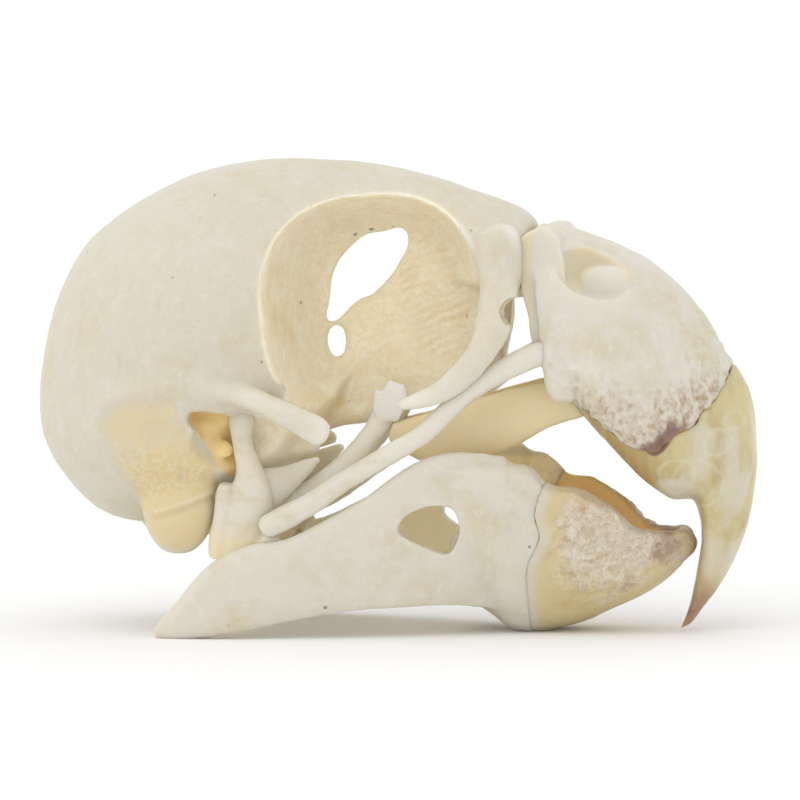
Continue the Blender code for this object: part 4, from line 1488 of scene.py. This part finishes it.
    def inward(self, piece: Piece, points: Array) -> Array:
        """Mask of the faces that look at the mid-plane or up from the scoop's floor.

        Args:
            piece: The piece.
            points: Its vertex places.

        Returns:
            1 on such a face, 0 elsewhere.
        """
        x, out, z = parted(points)
        normals = piece.averaged(piece.normals(), 3)
        station, height, _, half = np.array(self.scoop).T
        rim = np.interp(x, station, height)
        towards = -normals[:, 1] * np.sign(points[:, 1])
        bed = 0.8 * np.interp(x, station, half) - out
        floor = eased(normals[:, 2], 0.2, 0.6) * eased(rim - 0.5 - z, 0, 0.3) * eased(bed, 0, 0.3)
        floor *= x > 3.0
        return np.maximum(eased(towards, 0.15, 0.5) * eased(rim - z, 0.15, 0.5), floor)

    def raise_sheath(self, piece: Piece) -> None:
        """Flake the horn into fibres and paint its masks.

        Args:
            piece: The piece, whose skin is moved.
        """
        points = piece.points()
        x, _, z = parted(points)
        gap = beside(points, spline(self.seam, 6))
        inside = self.inward(piece, points)
        centre = eased(within(points, (9.8, 4.0), (2.8, 3.0)) + 0.3 * rough(points, 1.2, 3, 65), 0.05, 0.85)
        upper = eased(z + 0.55 * (x - 8.0), 4.6, 6.2) * eased(x, 7.4, 8.4)
        web = 1 - np.abs(rough(points, (1.0, 0.6, 0.8), 3, 61)) * 2.2
        fibres = rough(points, (1.0, 0.4, 0.35), 3, 62)
        lift = 0.12 * np.clip(web, 0, 1) * centre + 0.04 * fibres * np.maximum(centre, upper)
        piece.push((lift - 0.03 * upper * pits(points, 0.5, 66, 0.8)) * (1 - inside))
        fine = piece.hollow(8, 0.05)
        crust = upper * (0.75 + 0.35 * rough(points, 0.9, 3, 63)) + 0.3 * centre
        purple = upper * eased(within(points, (11.4, 3.9), (2.2, 1.3)), 0.05, 0.6)
        lip = within(points, (12.6, 4.4), (0.9, 0.6))
        piece.paint("crust", crust * (1 - inside))
        piece.paint("fibres", (0.9 * centre + 0.4 * upper) * (1 - inside))
        piece.paint("edge", bell(gap, 0.55) * (1 - inside))
        low = 0.25 * eased(0.7 - z, 0, 0.5)
        # the inward faces get a light golden ochre, partly the horn's own yellow and partly painted light in
        # their shade; the very bottom is yellower
        piece.paint("ochre", 0.8 * inside + 0.2 * eased(fine, 0.3, 1) * centre + low)
        piece.paint("stain", (0.7 * purple + 0.35 * lip + 0.15 * upper + 0.3 * centre) * (1 - inside))


@dataclass
class SmallBone:
    """One slender bone of the palate, cheek or jaw joint, made for either side."""

    name: str
    rods: Sequence[Rows]
    side: Side
    voxel: float = 0.07
    power: float = 2.2
    # how yellow the bone is, side outline of its torn flake, and how much paler its shaded front is painted,
    # as painted light
    warmth: float = 0.4
    flake: Rows = ()
    pale: float = 0.0

    def build(self) -> Piece:
        """Carry the rods, melt them together and add a light relief.

        Returns:
            The shaped piece.
        """
        shells = [rod(rows, self.side, self.power) for rows in self.rods]
        if self.flake:
            shells.append(slab(np.array(self.flake), self.side.value * 1.4, self.side.value * 1.85))
        piece = Piece("lovebird_" + self.name, shells)
        piece.melt(self.voxel, 3)
        points = piece.points()
        x, out, z = parted(points)
        piece.push(0.035 * rough(points, 1.3, 3, 71) + 0.012 * rough(points, 0.4, 2, 72))
        wide = piece.hollow(40, 0.2)
        # the torn flake is painted whiter: partly its own colour, partly painted light where it lies in
        # shadow
        splinters = eased(z, 9.6, 10.6) * eased(1.0 - x, 0, 0.5)
        splinters *= eased(3.2 - out, 0, 0.5)
        foot = 1.6 * self.warmth * eased(5.4 - z, 0, 1.5)
        # yellow tint: the bone's own yellow, more towards its foot, and painted shade in its hollows
        piece.paint("yellowing_and_painted_shade", (self.warmth + foot + 0.45 * eased(wide, 0.1, 0.9)) * (1 - splinters))
        # painted light: the shaded front of a quadrate or pterygoid is painted paler
        pale = self.pale * eased(x, -6.0, -5.0)
        piece.paint("ridge", eased(-wide, 0.15, 0.9) * (1 - self.warmth) + splinters + pale)
        return piece


@dataclass
class Palate:
    """The eight slender bones: cheek bars, quadrates, pterygoids and palatines."""

    # half thickness of the cheek bars
    bar: float = 0.42

    def rods(self) -> dict[str, tuple[tuple[Rows, ...], float, Rows, float]]:
        """Stations of each bone's rods, like those of the cranium's rods.

        Returns:
            For each bone its rods, how yellow it is, its flake's outline, and how much paler, as painted
            light, its shaded front is.
        """
        bar = self.bar
        jugal = (
            (-5.55, 6.15, 4.95, 0.30, 0.3), (-5.1, 6.15, 5.2, 0.56, 0.45), (-3.4, 6.05, 6.1, 0.52, bar),
            (-1.85, 5.85, 7.15, 0.47, bar), (0.33, 5.6, 8.45, 0.46, bar), (1.85, 5.4, 9.4, 0.46, bar),
            (3.3, 5.2, 10.8, 0.46, bar), (4.85, 5.0, 11.95, 0.50, bar), (6.4, 4.75, 12.75, 0.56, bar),
            (7.5, 4.3, 13.1, 0.50, 0.4),
        )
        column = (
            (-6.6, 5.9, 10.55, 0.50, 0.50), (-6.5, 5.9, 10.0, 0.60, 0.55),
            (-6.45, 5.9, 8.9, 0.46, 0.46), (-6.15, 5.7, 7.6, 0.62, 0.52), (-6.2, 5.4, 6.2, 1.05, 0.70),
            (-6.5, 5.2, 4.9, 1.15, 0.85), (-6.8, 5.1, 3.5, 1.05, 0.95),
        )
        hump = (
            (-7.25, 5.7, 7.0, 0.28, 0.32), (-7.3, 5.6, 6.5, 0.42, 0.42), (-7.35, 5.4, 5.4, 0.50, 0.5),
            (-7.45, 5.3, 4.4, 0.62, 0.60), (-7.5, 5.2, 3.6, 0.60, 0.70),
        )
        spike = (
            (-6.3, 5.3, 6.4, 1.15, 0.42), (-5.4, 4.9, 6.75, 0.95, 0.34), (-4.5, 4.5, 7.2, 0.62, 0.28),
            (-3.7, 4.1, 7.75, 0.34, 0.22), (-3.2, 3.9, 8.05, 0.14, 0.16),
        )
        knuckle = (
            (-5.6, 5.9, 4.6, 0.40, 0.35), (-5.2, 5.7, 4.3, 0.50, 0.45), (-4.9, 5.4, 4.0, 0.30, 0.30),
        )
        pterygoid = (
            (-6.0, 4.5, 5.4, 0.50, 0.5), (-4.4, 4.0, 6.1, 0.48, 0.42), (-3.1, 3.1, 7.0, 0.46, 0.40),
            (-2.0, 2.3, 7.95, 0.48, 0.40), (-1.05, 1.6, 9.1, 0.52, 0.42),
            (-0.45, 1.2, 10.0, 0.66, 0.40),
        )
        flake = (
            (-0.7, 9.6), (-1.05, 10.2), (-0.95, 11.1), (-0.55, 11.0), (-0.3, 11.55), (0.45, 11.3),
            (0.6, 10.5), (0.1, 9.6),
        )
        palatine = (
            (8.6, 2.7, 10.9, 0.9, 0.4), (6.9, 2.6, 10.5, 1.05, 0.42), (5.2, 2.4, 9.8, 1.3, 0.45),
            (3.4, 2.2, 9.2, 1.4, 0.45), (1.8, 1.9, 8.9, 1.2, 0.42), (0.5, 1.6, 9.0, 0.8, 0.40),
            (-0.2, 1.5, 9.2, 0.45, 0.35),
        )
        return {
            "jugal": ((jugal,), 0.05, (), 0.0),
            "quadrate": ((column, hump, spike, knuckle), 0.25, (), 0.4),
            "pterygoid": ((pterygoid,), 0.35, flake, 0.6),
            "palatine": ((palatine,), 0.8, (), 0.0),
        }

    def build(self, material: bpy.types.Material) -> None:
        """Make each bone on both sides and dress it.

        Args:
            material: Finish of all of them.
        """
        for name, (rods, warmth, flake, pale) in self.rods().items():
            for side in Side:
                label = f"{name}_{side.name.lower()}"
                piece = SmallBone(label, rods, side, warmth=warmth, flake=flake, pale=pale).build()
                piece.finish(material, Slot.SMALL_BONE, label)


@dataclass
class Studio:
    """White table, soft overhead light and the camera of the photograph, in millimetres and degrees."""

    floor_reach: float = 8000.0
    distance: float = 330.0
    azimuth: float = 7.4
    elevation: float = 3.8
    target_height: float = 10.5
    pixels_per_mm: float = 21.7
    frame_pixels: float = 800.0
    sensor: float = 36.0
    sky: float = 0.96
    sun: float = 0.55
    table_glow: float = 0.01
    key_angle: float = 70.0
    key_from: Triple = (-0.5, -0.6, 0.9)

    def sweep(self) -> None:
        """Large plain floor of lit opal acrylic, as photographers use for a white ground."""
        reach = self.floor_reach * MM
        points = [(-reach, -reach, 0.0), (reach, -reach, 0.0), (reach, reach, 0.0), (-reach, reach, 0.0)]
        mesh = mesh_of("floor", points, [(0, 1, 2, 3)])
        floor = bpy.data.objects.new("floor", mesh)
        bpy.context.scene.collection.objects.link(floor)
        material = bpy.data.materials.new("opal_acrylic_lit_from_below")
        material.use_nodes = True
        shader = material.node_tree.nodes["Principled BSDF"]
        shader.inputs["Base Color"].default_value = linear("#F8F8F8")
        shader.inputs["Roughness"].default_value = 0.9
        shader.inputs["Specular IOR Level"].default_value = 0.0
        shader.inputs["Emission Color"].default_value = linear("#FFFFFF")
        shader.inputs["Emission Strength"].default_value = self.table_glow
        mesh.materials.append(material)

    def key(self) -> None:
        """Soft key light from the upper left, so wide that its shadows have no edge."""
        light = bpy.data.lights.new("key", "SUN")
        light.energy = self.sun
        light.angle = math.radians(self.key_angle)
        lamp = bpy.data.objects.new("key", light)
        lamp.rotation_euler = self.facing(-np.array(self.key_from))
        bpy.context.scene.collection.objects.link(lamp)

    def facing(self, direction: Array) -> Triple:
        """Euler turn that points an object's -Z along a direction and keeps it upright.

        Args:
            direction: Where it looks.

        Returns:
            Turns about X, Y and Z in radians.
        """
        flat = math.hypot(direction[0], direction[1])
        pitch = math.atan2(flat, -direction[2])
        yaw = math.atan2(direction[0], direction[1])
        return (pitch, 0.0, -yaw)

    def build(self) -> None:
        """Set the floor, the world, the lamps and the camera."""
        self.sweep()
        scene = bpy.context.scene
        scene.view_settings.view_transform = "Standard"
        world = bpy.data.worlds.new("white_studio")
        world.use_nodes = True
        world.node_tree.nodes["Background"].inputs["Color"].default_value = linear("#FFFFFF")
        world.node_tree.nodes["Background"].inputs["Strength"].default_value = self.sky
        scene.world = world
        self.key()
        around = math.radians(self.azimuth)
        up = math.radians(self.elevation)
        away = np.array((math.sin(around) * math.cos(up), -math.cos(around) * math.cos(up), math.sin(up)))
        view = bpy.data.cameras.new("photo_view")
        view.sensor_width = self.sensor
        view.lens = self.distance * self.sensor / (self.frame_pixels / self.pixels_per_mm)
        view.clip_start = 0.01
        camera = bpy.data.objects.new("photo_view", view)
        camera.location = (np.array((0.0, 0.0, self.target_height)) + away * self.distance) * MM
        camera.rotation_euler = self.facing(-away)
        scene.collection.objects.link(camera)
        scene.camera = camera


def corners(box: Sequence[Sequence[float]]) -> list[list[float]]:
    """Box as plain lists of numbers."""
    return [[float(value) for value in corner] for corner in box]


def main() -> None:
    """Build every piece of the skull, dress it and set the studio round it."""
    logging.basicConfig(level=logging.INFO, format="%(name)s %(message)s")
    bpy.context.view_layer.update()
    cranium = Cranium().build()
    cranium.finish(BRAINCASE_BONE.material(), Slot.BONE, "cranium")
    beak_bone, beak_sheath = UpperBeak().build()
    spongy = BEAK_BONE.material()
    beak_bone.finish(spongy, Slot.BONE, "upper_beak_bone")
    beak_sheath.finish(UPPER_KERATIN.material(), Slot.UPPER_HORN, "upper_beak_sheath")
    jaw_bone, jaw_sheath = LowerJaw().build()
    jaw_bone.finish(spongy, Slot.BONE, "mandible")
    jaw_sheath.finish(LOWER_KERATIN.material(), Slot.LOWER_HORN, "lower_beak_sheath")
    Palate().build(THIN_BONE.material())
    Studio().build()


if __name__ == "__main__":
    main()
